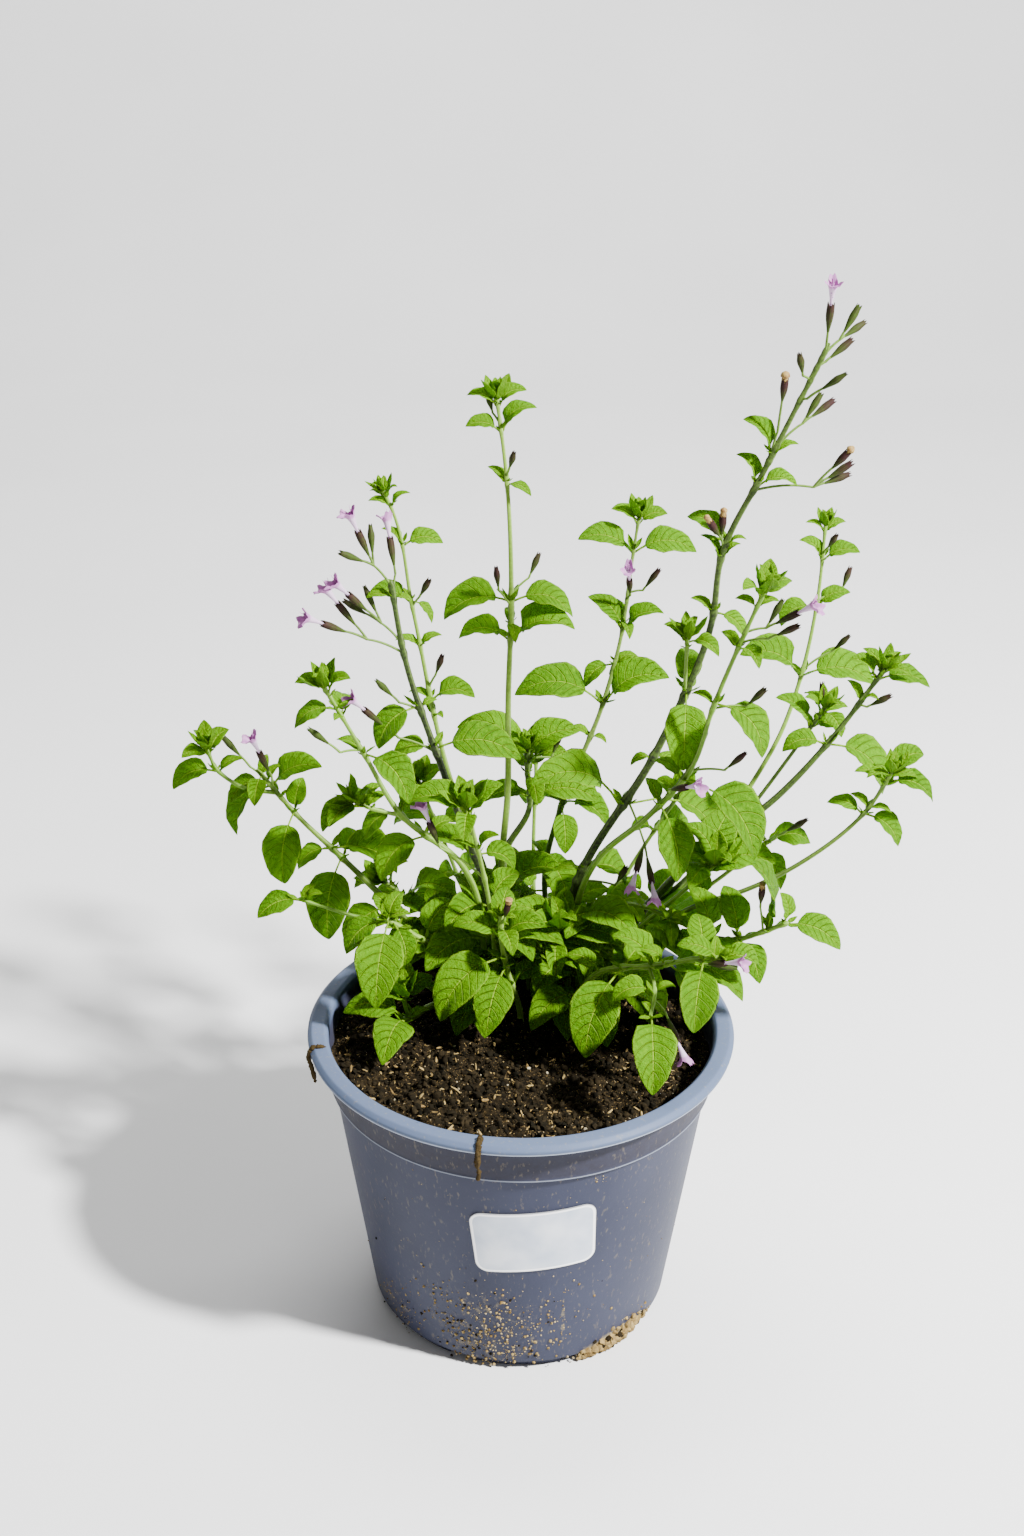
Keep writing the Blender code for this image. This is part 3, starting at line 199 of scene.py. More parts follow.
SHOOTS = {
    "stem_tall_right": Shoot(
        (15, 33), (4.4, 1.8), 0,
        [(22, 30, 170), (52, 24, 233), (70, 19, 288), (72, 17, 314), (85, 13, 347), (104, 9, 393)],
        [(0.25, -152, (12, 3), (20, -12)), (0.36, 200, (39, 16), (44, -26)),
         (0.44, 190, (9, -3), (9, -6)), (0.54, -95, (14, -26), (15, 12)), (0.65, -15, (12, -9), (9, 5)),
         (0.72, 175, (8, 9), (7, 6)), (0.74, 150, (16, 8), (8, 3)), (0.82, 165, (8, 11), (14, 4)),
         (0.86, 175, (11, 13), (8, 6))],
        [(0.23, (15, -3, 0), [(4, -2, 9, "bud")]),
         (0.37, (7, -7, -16), [(-3, -4, -10, "open"), (3, -6, -14, "open")]),
         (0.73, (-1, -2, 5), [(0, -1, 11, "dry"), (-6, -3, 9, "dry")]),
         (0.82, (21, -2, 2), [(12, -3, 15, "dry"), (13, 0, 9, "bud"), (13, 3, 4, "bud")]),
         (0.86, (2, -2, 11), [(1, -4, 21, "dry")]),
         (0.87, (9, 2, 8), [(6, 2, 10, "bud"), (11, 5, 7, "bud")]),
         (0.93, (2, -2, 1), [(12, -5, 10, "bud")]), (0.955, (-3, -2, 2), [(-2, -2, 8, "bud")]),
         (0.97, (3, 1, 2), [(9, 3, 7, "bud")]), (0.99, (0, -1, 3), [(0, -3, 14, "open")]),
         (0.99, (6, 2, 6), [(6, 2, 11, "bud"), (9, 5, 5, "bud")])],
    ),
    "stem_tall_centre": Shoot(
        (4, 42), (4.0, 1.5), 13,
        [(-8, 50, 161), (-6, 58, 199), (-6, 66, 237), (-5, 73, 276), (-7, 81, 323), (-11, 85, 355)],
        [(0.22, -13, (25, 14), (16, 8)), (0.63, 175, (21, 0), (26, 6)), (0.655, -80, (11, -4), (9, 4)),
         (0.69, 182, (27, -7), (23, -11)), (0.87, 150, (9, 6), (11, -3)), (0.95, 178, (14, 2), (14, 10))],
        [(0.69, (-5, -3, 8), [(-1, -4, 11, "bud")]), (0.7, (7, 3, 6), [(4, 4, 9, "bud")]),
         (0.88, (1, -3, 4), [(2, -4, 8, "bud")]), (0.96, (-3, 2, 4), [(-2, 3, 7, "bud")])],
    ),
    "stem_flowering_left": Shoot(
        (-8, 34), (3.8, 2.2), 0,
        [(-14, 26, 167), (-30, 16, 225), (-44, 8, 278), (-48, 4, 308)],
        [(0.41, -167, (18, 10), (16, -8)), (0.66, 178, (16, -4), (33, -3)),
         (0.75, 200, (19, -11), (7, 2)), (0.97, 175, (10, 0), (7, -2))],
        [(0.66, (-14, -4, 8), [(-12, -6, 14, "open")]), (0.75, (-8, -3, 5), [(-8, -5, 11, "bud")]),
         (0.86, (-13, -4, 7), [(-10, -1, 14, "open"), (-15, -8, 9, "open")]),
         (0.88, (-7, -3, 9), [(-14, 7, 6, "bud"), (-11, -6, 13, "open"), (-6, 3, 13, "bud")]),
         (0.99, (-6, -3, 9), [(-5, -2, 13, "open"), (-11, -7, 7, "bud"), (-1, 3, 14, "bud")]),
         (0.99, (1, 3, 6), [(-2, 4, 12, "open")])],
    ),
    "stem_left_light": Shoot(
        (-3, 50), (3.0, 1.3), 9,
        [(-12, 52, 154), (-30, 57, 206), (-44, 63, 276), (-52, 66, 317), (-55, 67, 323)],
        [(0.62, -5, (18, 2), (9, 3)), (0.59, -60, (8, 2), (8, 4)), (0.72, 10, (9, 4), (10, 3)),
         (0.8, 182, (17, 3), (8, -9)), (0.9, 5, (16, 1), (5, 11)), (0.97, 172, (8, 4), (8, 6))],
        [(0.64, (3, -3, 7), [(3, -4, 10, "bud")]), (0.8, (3, -2, 5), [(4, -3, 8, "bud")])],
    ),
    "stem_left_middle": Shoot(
        (-15, 28), (3.8, 1.4), 13,
        [(-24, 19, 185), (-47, 9, 212), (-60, 3, 241), (-73, -3, 270)],
        [(0.57, -150, (20, -14), (12, 4)), (0.66, 185, (13, -11), (12, 8)),
         (0.82, -35, (21, -14), (12, 4)), (0.94, 184, (16, -7), (24, 15)), (0.92, 75, (14, 4), (8, 2)),
         (0.985, 10, (7, 4), (8, 2))],
        [(0.83, (-8, -2, 0), [(-11, -3, 11, "bud")])],
    ),
    "stem_far_left": Shoot(
        (-22, 36), (4.0, 1.6), 0,
        [(-53, 37, 155), (-74, 37, 179), (-89, 36, 196), (-105, 35, 218)],
        [(0.45, -156, (20, -14), (20, -8)), (0.65, -110, (15, -29), (14, 8)),
         (0.69, 10, (26, -13), (14, -8)), (0.84, -110, (11, -26), (9, 12)),
         (0.94, -5, (21, 10), (15, -22)), (0.96, 200, (16, -5), (8, 5)), (0.98, -100, (11, -8), (8, 6))],
        [(0.96, (0, -2, 6), [(-4, -3, 12, "open")]), (0.97, (-6, 1, 5), [(-10, 0, 13, "bud")])],
    ),
    "stem_left_rosette": Shoot(
        (-10, 22), (2.8, 1.6), 16,
        [(-13, 10, 174), (-17, 3, 200), (-21, -1, 220)],
        [(0.83, -20, (9, 8), (12, 2)), (0.97, 178, (23, 5), (10, 16)), (0.985, -95, (13, -6), (12, 3))],
        [(0.7, (-17, -3, 15), [(-4, 0, 11, "open")])],
    ),
    "stem_centre_back": Shoot(
        (0, 58), (4.8, 2.0), 12,
        [(-7, 70, 164), (3, 68, 186), (2, 69, 203), (2, 70, 213)],
        [(0.81, 180, (19, -2), (29, -1)), (0.9, -70, (12, -9), (14, 2)), (0.95, -172, (30, 13), (24, 8))],
        [(0.97, (10, 2, 0), [(4, 2, 11, "bud")])],
    ),
    "stem_centre_right": Shoot(
        (14, 54), (3.2, 1.3), 13,
        [(10, 64, 161), (16, 71, 184), (33, 83, 226), (40, 90, 252), (45, 100, 288), (47, 103, 302)],
        [(0.41, -80, (10, -17), (14, 4)), (0.42, -12, (19, -9), (12, 2)), (0.56, -20, (7, -2), (10, 2)),
         (0.63, 178, (37, 4), (24, 18)), (0.71, 190, (12, -9), (10, 3)), (0.78, 165, (12, 16), (12, 15)),
         (0.79, -50, (12, -2), (12, 8)), (0.93, 180, (23, 6), (26, 1))],
        [(0.85, (6, -2, 2), [(6, -3, 10, "bud")]), (0.84, (1, -4, 3), [(-1, -6, 9, "open")])],
    ),
    "stem_right_light": Shoot(
        (19, 28), (3.4, 1.6), 14,
        [(31, 21, 188), (48, 13, 209), (64, 5, 235), (70, 0, 261), (83, -8, 304), (85, -9, 310)],
        [(0.55, -60, (14, -26), (10, 8)), (0.62, -25, (30, -26), (12, 6)), (0.78, -20, (19, -18), (9, 3)),
         (0.89, -60, (13, -3), (11, 3)), (0.97, -5, (8, 2), (8, 3))],
        [(0.64, (13, -3, 2), [(7, -4, 9, "bud")]),
         (0.92, (7, -3, 3), [(5, -1, 11, "bud"), (10, -6, 8, "open")]),
         (0.9, (9, -6, 4), [(9, -8, 8, "bud")]), (0.78, (12, -2, 2), [(6, -3, 8, "bud")]),
         (0.58, (-1, -4, 4), [(6, -8, 5, "open")])],
    ),
    "stem_right_tall_light": Shoot(
        (22, 48), (3.2, 1.4), 10,
        [(75, 61, 161), (92, 69, 190), (108, 77, 219), (115, 82, 242), (120, 88, 271), (122, 94, 302)],
        [(0.74, 182, (26, 10), (31, -4)), (0.86, 183, (14, -8), (12, 9)), (0.94, 175, (8, 10), (15, 4))],
        [(0.75, (11, -2, 9), [(6, -3, 8, "bud")]), (0.87, (10, 2, 4), [(3, 2, 9, "bud")]),
         (0.95, (1, -3, 3), [(3, -3, 7, "bud")])],
    ),
    "stem_right_dark": Shoot(
        (27, 38), (4.6, 1.8), 12,
        [(52, 34, 159), (71, 32, 183), (100, 28, 211), (118, 25, 236), (137, 22, 269)],
        [(0.81, 178, (17, -3), (23, -20)), (0.92, 130, (8, 6), (8, 3)), (0.97, -5, (20, -2), (11, 8))],
        [(0.92, (3, -2, 0), [(8, -3, 6, "bud")])],
    ),
    "stem_right_thin": Shoot(
        (23, 43), (2.4, 1.6), 12,
        [(70, 51, 164), (90, 51, 190), (106, 53, 214), (121, 54, 239)],
        [(0.94, 178, (15, 13), (13, 5)), (0.985, -60, (13, -6), (11, 6))],
        [(0.99, (1, 2, 2), [(-1, 2, 9, "bud")])],
    ),
    "stem_far_right": Shoot(
        (31, 29), (2.6, 1.5), 11,
        [(71, 20, 167), (86, 14, 176), (108, 7, 193), (131, 1, 220), (138, -2, 237)],
        [(0.46, -28, (17, -3), (13, 14)), (0.88, 170, (14, 4), (14, -12)), (0.9, -30, (9, 0), (8, 4)),
         (0.97, -5, (18, -7), (12, 4)), (0.985, 30, (16, 6), (11, 2))],
        [],
    ),
    "shoot_right_back": Shoot(
        (30, 34), (2.8, 1.8), 17,
        [(67, 18, 177), (76, 14, 189)],
        [(0.9, -11, (30, 8), (12, 10)), (0.96, 60, (20, 19), (18, 0)), (0.99, 160, (16, 22), (14, 0))],
        [],
    ),
    "shoot_right_low": Shoot(
        (34, 23), (3.0, 1.8), 0,
        [(71, 8, 159), (84, 1, 162), (94, -6, 170), (102, -10, 176)],
        [(0.68, -33, (20, -5), (10, 20)), (0.79, 110, (15, 17), (20, -8)), (0.92, 30, (17, 26), (17, 30)),
         (0.985, -15, (22, -7), (8, 12))],
        [(0.9, (-2, -2, 12), [(0, -2, 11, "dry")])],
    ),
    "shoot_right_middle": Shoot(
        (37, 39), (2.4, 1.6), 0,
        [(86, 32, 178), (94, 30, 187), (101, 29, 193)],
        [(0.91, -50, (15, -11), (16, 6)), (0.96, 20, (20, -3), (19, 11))],
        [(0.99, (3, -2, 3), [(9, -3, 8, "bud")])],
    ),
    "shoot_front_right": Shoot(
        (22, 16), (3.2, 1.8), 9,
        [(32, -2, 149), (52, -14, 159), (68, -22, 167), (76, -25, 169)],
        [(0.6, -129, (23, -29), (14, 6)), (0.73, -11, (36, 4), (17, 12)), (0.78, 178, (12, 4), (16, -12)),
         (0.93, -85, (15, -23), (18, 10)), (0.985, 0, (17, -2), (16, 6))],
        [(0.88, (5, -5, 1), [(7, -4, 3, "open"), (12, -1, -1, "bud")])],
    ),
    "shoot_front_centre": Shoot(
        (0, 16), (3.2, 2.0), 7,
        [(-6, 8, 145), (-8, 5, 161), (-8, 4, 171)],
        [(0.48, -148, (26, -15), (20, 5)), (0.63, -110, (22, -19), (12, 4)),
         (0.7, -150, (29, -20), (24, -13)), (0.84, 172, (19, 6), (18, 7)), (0.9, 110, (14, 26), (14, -4))],
        [(0.95, (1, -2, 4), [(2, -2, 10, "dry")])],
    ),
    "shoot_front_left": Shoot(
        (-19, 22), (3.6, 2.6), 0,
        [(-33, 16, 122), (-47, 3, 122)],
        [(0.98, -105, (29, -2), (12, 10)), (0.96, 178, (25, 8), (9, 5))],
        [],
    ),
    "shoot_left_low": Shoot(
        (-22, 30), (3.0, 2.0), 7,
        [(-34, 20, 145), (-48, 12, 160), (-54, 9, 166)],
        [(0.72, -133, (18, -4), (18, 12)), (0.97, -100, (24, -25), (12, 6)),
         (0.95, -50, (8, -16), (12, 8)), (0.985, 200, (17, -12), (9, 4))],
        [],
    ),
    "shoot_centre_low": Shoot(
        (12, 23), (2.8, 2.0), 18,
        [(13, 18, 148), (15, 16, 159)],
        [(0.68, -31, (24, -6), (20, 22)), (0.79, 190, (13, -16), (20, -8)),
         (0.86, -90, (14, -8), (16, 10)), (0.91, 178, (19, 14), (29, -4))],
        [],
    ),
    "shoot_right_thin": Shoot(
        (24, 30), (2.2, 1.5), 8,
        [(24, 30, 150), (39, 24, 165), (48, 20, 166), (60, 15, 163)],
        [(0.87, 165, (14, 9), (9, -3)), (0.985, 95, (12, 12), (9, -8))],
        [],
    ),
    "shoot_left_inner": Shoot(
        (-16, 44), (2.6, 1.6), 16,
        [(-45, 47, 151), (-57, 48, 161)],
        [(0.97, 170, (15, 12), (10, 2)), (0.85, -30, (24, 9), (16, 3))],
        [],
    ),
    "shoot_back_left": Shoot(
        (-14, 56), (2.6, 1.6), 14,
        [(-28, 74, 151), (-45, 92, 187)],
        [(0.55, 60, (18, -4), (16, 6)), (0.8, 150, (22, -6), (18, 4)), (0.96, 60, (14, 4), (13, 4))],
        [],
    ),
    "shoot_back_centre": Shoot(
        (6, 66), (2.6, 1.6), 13,
        [(5, 90, 153), (6, 104, 195)],
        [(0.5, 20, (20, -4), (20, -2)), (0.78, 100, (22, -10), (12, 6)), (0.96, 10, (14, 3), (14, 4))],
        [],
    ),
    "shoot_back_right": Shoot(
        (24, 60), (2.6, 1.6), 14,
        [(46, 78, 151), (68, 90, 183)],
        [(0.55, 120, (18, -2), (14, 2)), (0.8, 40, (22, -8), (14, 4)), (0.96, 130, (14, 4), (13, 3))],
        [],
    ),
}

BRANCHES = [
    Branch("stem_tall_right", 0.54, (2.0, 1.3), 12,
           [(61, 18, 271), (61, 17, 283)],
           [(0.9, -10, (13, -3), (8, 6))],
           []),
    Branch("stem_far_left", 0.95, (2.0, 1.3), 13,
           [(-110, 31, 212), (-120, 29, 221), (-123, 27, 231)],
           [(0.69, 190, (18, -6), (10, 5))],
           []),
    Branch("stem_left_middle", 0.66, (1.8, 1.3), 13,
           [(-57, 7, 215), (-64, 5, 219)],
           [(0.75, 195, (19, -1), (9, 4)), (0.85, 215, (13, -8), (10, 6))],
           []),
    Branch("shoot_front_right", 0.73, (1.8, 1.3), 0,
           [(51, -24, 154), (49, -34, 149)],
           [(0.53, 182, (16, -4), (8, 2)), (0.96, -90, (23, -20), (6, 4))],
           [(0.7, (4, -3, -3), [(5, -4, -11, "open")])]),
    Branch("shoot_front_left", 0.97, (2.0, 1.5), 16,
           [(-46, 6, 125), (-47, 7, 132)],
           [],
           []),
    Branch("shoot_left_low", 0.98, (1.8, 1.3), 0,
           [(-67, 14, 164), (-78, 17, 166), (-88, 18, 169)],
           [(0.97, 190, (19, -4), (8, 4)), (0.985, -130, (14, -13), (8, 4))],
           []),
]

# How far each stem has turned from light green to the dark purplish green of old wood
STEM_AGE = {
    "stem_tall_right": 0.85, "stem_flowering_left": 0.95, "stem_right_dark": 0.8, "stem_right_thin": 0.7,
    "stem_far_right": 0.5, "stem_centre_right": 0.6, "stem_centre_back": 0.75, "stem_far_left": 0.35,
    "shoot_front_left": 0.3, "stem_tall_centre": 0.25,
}
STEM_AGE_ELSEWHERE = 0.15


def linear(hex_colour):
    """An sRGB hex colour as linear red, green, blue and alpha."""
    parts = [int(hex_colour[i : i + 2], 16) / 255 for i in (1, 3, 5)]
    return tuple(c / 12.92 if c <= 0.04045 else ((c + 0.055) / 1.055) ** 2.4 for c in parts) + (1.0,)


def unit(v):
    return v / np.linalg.norm(v, axis=-1, keepdims=True)


def compass(turn):
    """Level unit vectors for compass turns in degrees."""
    angle = np.radians(turn)
    return np.stack([np.cos(angle), np.sin(angle), np.zeros_like(angle)], axis=-1)


def smoothstep(low, high, x):
    t = np.clip((x - low) / (high - low), 0, 1)
    return t * t * (3 - 2 * t)


def length_of(leaf):
    return math.hypot(leaf.reach, leaf.rise)


# Growth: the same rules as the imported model's, so that each leaf is found where it was packed

Leaf = namedtuple("Leaf", "root turn reach rise width heart")
Limb = namedtuple("Limb", "route nodes age")
Flower = namedtuple("Flower", "fork step kind")

# Bends that a packed leaf may have been given to clear its neighbours: sizes, and lifts and turns in
# degrees; how much a smaller size counts against it, the steepest leaf in radians, and how near in mm
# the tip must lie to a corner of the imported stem
BEND_SIZES = (1.0, 0.88, 0.75, 0.62, 0.5)
BEND_LIFTS = (0, 12, -12, 24, -24)
BEND_TURNS = (0, 10, -10, 20, -20, 32, -32)
SIZE_COST = 110
STEEPEST = 1.45
TIP_MATCH = 0.05

# Leaf hearts in the tufts: size and lift of each crossed pair
HEART_LEVELS = ((0.95, 50), (0.86, 62), (0.72, 72), (0.5, 81))

# Axil leaves: the shortest leaf that has them, their share of its length and its limits, their lift and
# turn from it, and their step along the stem
AXIL_LEAST = 9.0
AXIL_SHARE = (0.16, 0.4)
AXIL_SIZES = (2.4, 7.5)
AXIL_LIFT = (15, 62)
AXIL_TURN = (22, 62)
AXIL_STEP = (0.3, 1.4)

# Leaves low on a stem: where they grow, how far apart, the front one's turn, and size and lift of each
LOW_FROM = 24.0
LOW_TO = 64.0
LOW_SHIFT = (0, 8)
LOW_SPACING = (10, 16)
LOW_TURN = (195, 345)
FRONT_SIZE, FRONT_LIFT = (19, 32), (-34, 18)
BACK_SIZE, BACK_LIFT = (10, 20), (-5, 38)
# Room that they keep: to the stem's tip, to a node, inside the rim or over it, and over the soil
TIP_ROOM = 22
LEAF_ROOM = 6
RIM_ROOM = 72.0
RIM_LIFT = 8
SOIL_ROOM = 4.0
# How far a side branch has aged, as a share of its stem
BRANCH_AGE = 0.3


def smooth_route(points, per_span=12):
    """Closely listed points of a smooth curve through the given ones: cubic Hermite spans."""
    p = np.array(points, dtype=float)
    legs = np.linalg.norm(np.diff(p, axis=0), axis=1)
    slopes = np.gradient(p, np.concatenate([[0.0], np.cumsum(legs)]), axis=0)
    t = np.linspace(0, 1, per_span, endpoint=False)[:, None]
    spans = []
    for a, b, leg, leaving, arriving in zip(p, p[1:], legs, slopes, slopes[1:]):
        blend = 3 * t**2 - 2 * t**3
        bulge = leg * ((t - 2 * t**2 + t**3) * leaving + (t**3 - t**2) * arriving)
        spans.append((1 - blend) * a + blend * b + bulge)
    return np.vstack(spans + [p[-1:]])


class Route:
    """A stem's smooth line, measured in mm of length from its root."""

    def __init__(self, points, thick):
        self.line = smooth_route(points)
        steps = np.linalg.norm(np.diff(self.line, axis=0), axis=1)
        self.marks = np.concatenate([[0.0], np.cumsum(steps)])
        self.length = float(self.marks[-1])
        self.thick = thick

    def at(self, distance):
        return np.stack([np.interp(distance, self.marks, self.line[:, k]) for k in range(3)], axis=-1)

    def along(self, distance):
        ahead = self.at(np.minimum(np.asarray(distance) + 1.5, self.length))
        return unit(ahead - self.at(np.maximum(np.asarray(distance) - 1.5, 0.0)))

    def half(self, distance):
        """Half width of the stem, which tapers with the length to the power 1.2."""
        share = (distance / self.length) ** 1.2
        return STEM_SQUARE * (self.thick[0] + (self.thick[1] - self.thick[0]) * share)

    def away_from(self, point, room, push):
        """The point moved along push until it is room away from the stem's middle line."""
        while np.linalg.norm(self.line - point, axis=1).min() < room:
            point = point + 0.5 * push
        return point


def leaf_of(route, distance, turn, reach, rise, heart=False):
    """A leaf with its root on the stem's surface and its tip at a reach and rise from the stem."""
    skin = route.half(distance)
    width = LEAF_WIDTH * min(math.hypot(reach, rise) * (1 - PETIOLE_SHARE), BLADE_MOST)
    root = route.at(distance) + compass(turn) * skin
    return Leaf(root, turn, max(reach - skin, 1.5), rise, width, heart)


def tuft_of(route, size, levels=TUFT_LEVELS, heart=False):
    """Crossed pairs of small leaves round the tip of a stem, each shorter and steeper than the last."""
    axis = unit(route.along(route.length) + TUFT_UPRIGHT * UP)
    start = 37.0 * route.at(0.5 * route.length)[0] % 90 - 45 + 45 * heart
    found = []
    for level, (share, lift) in enumerate(levels):
        here = route.length - TIP_MARGIN - NODE_ROOM * (len(levels) - 1 - level) * (not heart)
        spread = compass(start + 90 * level)
        spread = unit(spread - axis * spread.dot(axis))
        pair = []
        for side in (spread, -spread):
            way = size * share * (axis * math.sin(math.radians(lift)) + side * math.cos(math.radians(lift)))
            turn = math.degrees(math.atan2(way[1], way[0]))
            pair.append(leaf_of(route, here, turn, math.hypot(way[0], way[1]), way[2], heart))
        found.append((here, pair))
    return found


def load_of(route, table, branches):
    """What a stem carries, each thing with the place it wants along the stem."""
    load = []
    for share, turn, first, second in table.pairs:
        here = share * route.length
        load.append((here, [leaf_of(route, here, turn, *first), leaf_of(route, here, turn + 180, *second)]))
    load += [(share * route.length, (step, ends)) for share, step, ends in table.cymes]
    load += [(branch.share * route.length, branch) for branch in branches]
    if table.tuft:
        load += tuft_of(route, table.tuft)
    return load


def spaced(load, length):
    """The nodes of a stem moved down, from its tip, until each has its room."""
    placed = []
    limit = length - TIP_MARGIN
    for wish, thing in sorted(load, key=lambda item: -item[0]):
        limit = min(wish, limit)
        placed.append((limit, thing))
        limit -= NODE_ROOM
    return placed[::-1]


def bends():
    """Turn, lift and size of every bend that a leaf may have, the gentlest first."""
    options = [(turn, lift, size) for size in BEND_SIZES for lift in BEND_LIFTS for turn in BEND_TURNS]
    options.sort(key=lambda option: abs(option[0]) + abs(option[1]) + SIZE_COST * (1 - option[2]))
    return np.array(options, dtype=float)


BENDS = bends()


def as_packed(leaf, corners):
    """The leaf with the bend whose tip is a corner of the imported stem, or None where none is."""
    turns, lifts, sizes = BENDS.T
    turns = leaf.turn + turns
    angles = np.clip(np.arctan2(leaf.rise, leaf.reach) + np.radians(lifts), -STEEPEST, STEEPEST)
    lengths = length_of(leaf) * sizes
    tips = leaf.root + (lengths * np.cos(angles))[:, None] * compass(turns)
    tips = tips + (lengths * np.sin(angles))[:, None] * UP
    near = corners[np.linalg.norm(corners - leaf.root, axis=1) < lengths.max() + 1]
    if not len(near):
        return None
    gaps = np.linalg.norm(tips[:, None] - near[None], axis=2).min(axis=1)
    hits = np.flatnonzero(gaps < TIP_MATCH)
    if not len(hits):
        return None
    k = hits[0]
    reach, rise = lengths[k] * math.cos(angles[k]), lengths[k] * math.sin(angles[k])
    return Leaf(leaf.root, turns[k], reach, rise, leaf.width * sizes[k], leaf.heart)


def axil_leaves(route, here, pair, rng):
    """Tiny leaves that break from the axils of a pair: two beside each larger leaf, steeper than it."""
    found = []
    for leaf in pair:
        if length_of(leaf) < AXIL_LEAST:
            continue
        for side in (-1, 1):
            size = max(AXIL_SIZES[0], min(length_of(leaf) * rng.uniform(*AXIL_SHARE), AXIL_SIZES[1]))
            reach_and_rise = fan_of(size, rng.uniform(*AXIL_LIFT))
            turn = leaf.turn + side * rng.uniform(*AXIL_TURN)
            at = min(here + rng.uniform(*AXIL_STEP), route.length)
            found.append(leaf_of(route, at, turn, *reach_and_rise, True))
    return found


def fan_of(size, lift):
    """Reach and rise of a leaf of a size that stands up by an angle in degrees."""
    return size * math.cos(math.radians(lift)), size * math.sin(math.radians(lift))


def low_leaves(route, nodes, rng):
    """Pairs low on a stem, wherever it has room: a large leaf leans forward, a smaller one back."""
    found = []
    at = LOW_FROM + rng.uniform(*LOW_SHIFT)
    while at < min(LOW_TO, route.length - TIP_ROOM):
        turn = rng.uniform(*LOW_TURN)
        front = leaf_of(route, at, turn, *fan_of(rng.uniform(*FRONT_SIZE), rng.uniform(*FRONT_LIFT)))
        back = leaf_of(route, at, turn - 180, *fan_of(rng.uniform(*BACK_SIZE), rng.uniform(*BACK_LIFT)))
        if all(abs(at - here) > LEAF_ROOM for here in nodes):
            for leaf in (front, back):
                tip = leaf.root + compass(leaf.turn) * leaf.reach + UP * leaf.rise
                inside = math.hypot(tip[0], tip[1]) < RIM_ROOM or tip[2] > POT_HEIGHT + RIM_LIFT
                if inside and tip[2] > SOIL_HEIGHT + SOIL_ROOM:
                    found.append(leaf)
        at += rng.uniform(*LOW_SPACING)
    return found


def grown(owner):
    """Limbs, leaves, stalks and flowers of one shoot, in mm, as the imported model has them."""
    shoot = SHOOTS[owner]
    foot = [(*shoot.spot, SOIL_HEIGHT - HOLE_DEPTH + SEAT), (*shoot.spot, SOIL_HEIGHT + 2)]
    age = STEM_AGE.get(owner, STEM_AGE_ELSEWHERE)
    branches = [branch for branch in BRANCHES if branch.parent == owner]
    waiting = [(Route(foot + shoot.route, shoot.thick), shoot, branches, age)]
    corners = cad_corners(owner)
    rng = np.random.default_rng(list(SHOOTS).index(owner))
    limbs, leaves, stalks, flowers = [], [], [], []
    while waiting:
        route, table, branches, age = waiting.pop(0)
        nodes = spaced(load_of(route, table, branches), route.length)
        limbs.append(Limb(route, [here for here, _ in nodes], age))
        if table is shoot:
            leaves += low_leaves(route, limbs[0].nodes, rng)
        for here, thing in nodes:
            if isinstance(thing, Branch):
                side = Route([route.at(here)] + thing.route, thing.thick)
                waiting.append((side, thing, [], BRANCH_AGE * age))
            elif isinstance(thing, list):
                leaves += [found for found in (as_packed(leaf, corners) for leaf in thing) if found]
                leaves += axil_leaves(route, here, thing, rng)
            else:
                fork, start = fork_of(route, here, *thing)
                stalks.append((start, fork))
                flowers += [Flower(fork, np.array(end[:3], float), end[3]) for end in thing[1]]
        if table.tuft:
            for _, pair in tuft_of(route, table.tuft, HEART_LEVELS, heart=True):
                leaves += pair
    return limbs, leaves, stalks, flowers


def fork_of(stem, here, fork_step, ends):
    """Where a flower cluster's stalk forks, pushed clear of its own stem, and where the stalk starts."""
    start = stem.at(here)
    push = np.array(fork_step, float) + 0.2 * np.sum([end[:3] for end in ends], axis=0)
    push[2] = 0.0
    room = stem.half(here) * 1.5 + STALK_HALF + 0.4
    return stem.away_from(start + np.array(fork_step, float), room, unit(push)), start


def cad_corners(node):
    """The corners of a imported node, in mm."""
    vertices = frame["nodes"][node].data.vertices
    places = np.empty(len(vertices) * 3, np.float32)
    vertices.foreach_get("co", places)
    return np.unique(places.reshape(-1, 3).round(7), axis=0).astype(float) / MM


# Meshes: closed shells worked out as whole arrays

Shell = namedtuple("Shell", "points faces marks slot")


def marks_for(rings, *values):
    """Six marks for every point, each value spread over the points; the ones not given are 0."""
    marks = np.zeros(rings.shape[:-1] + (6,))
    for channel, value in enumerate(values):
        marks[..., channel] = value
    return marks


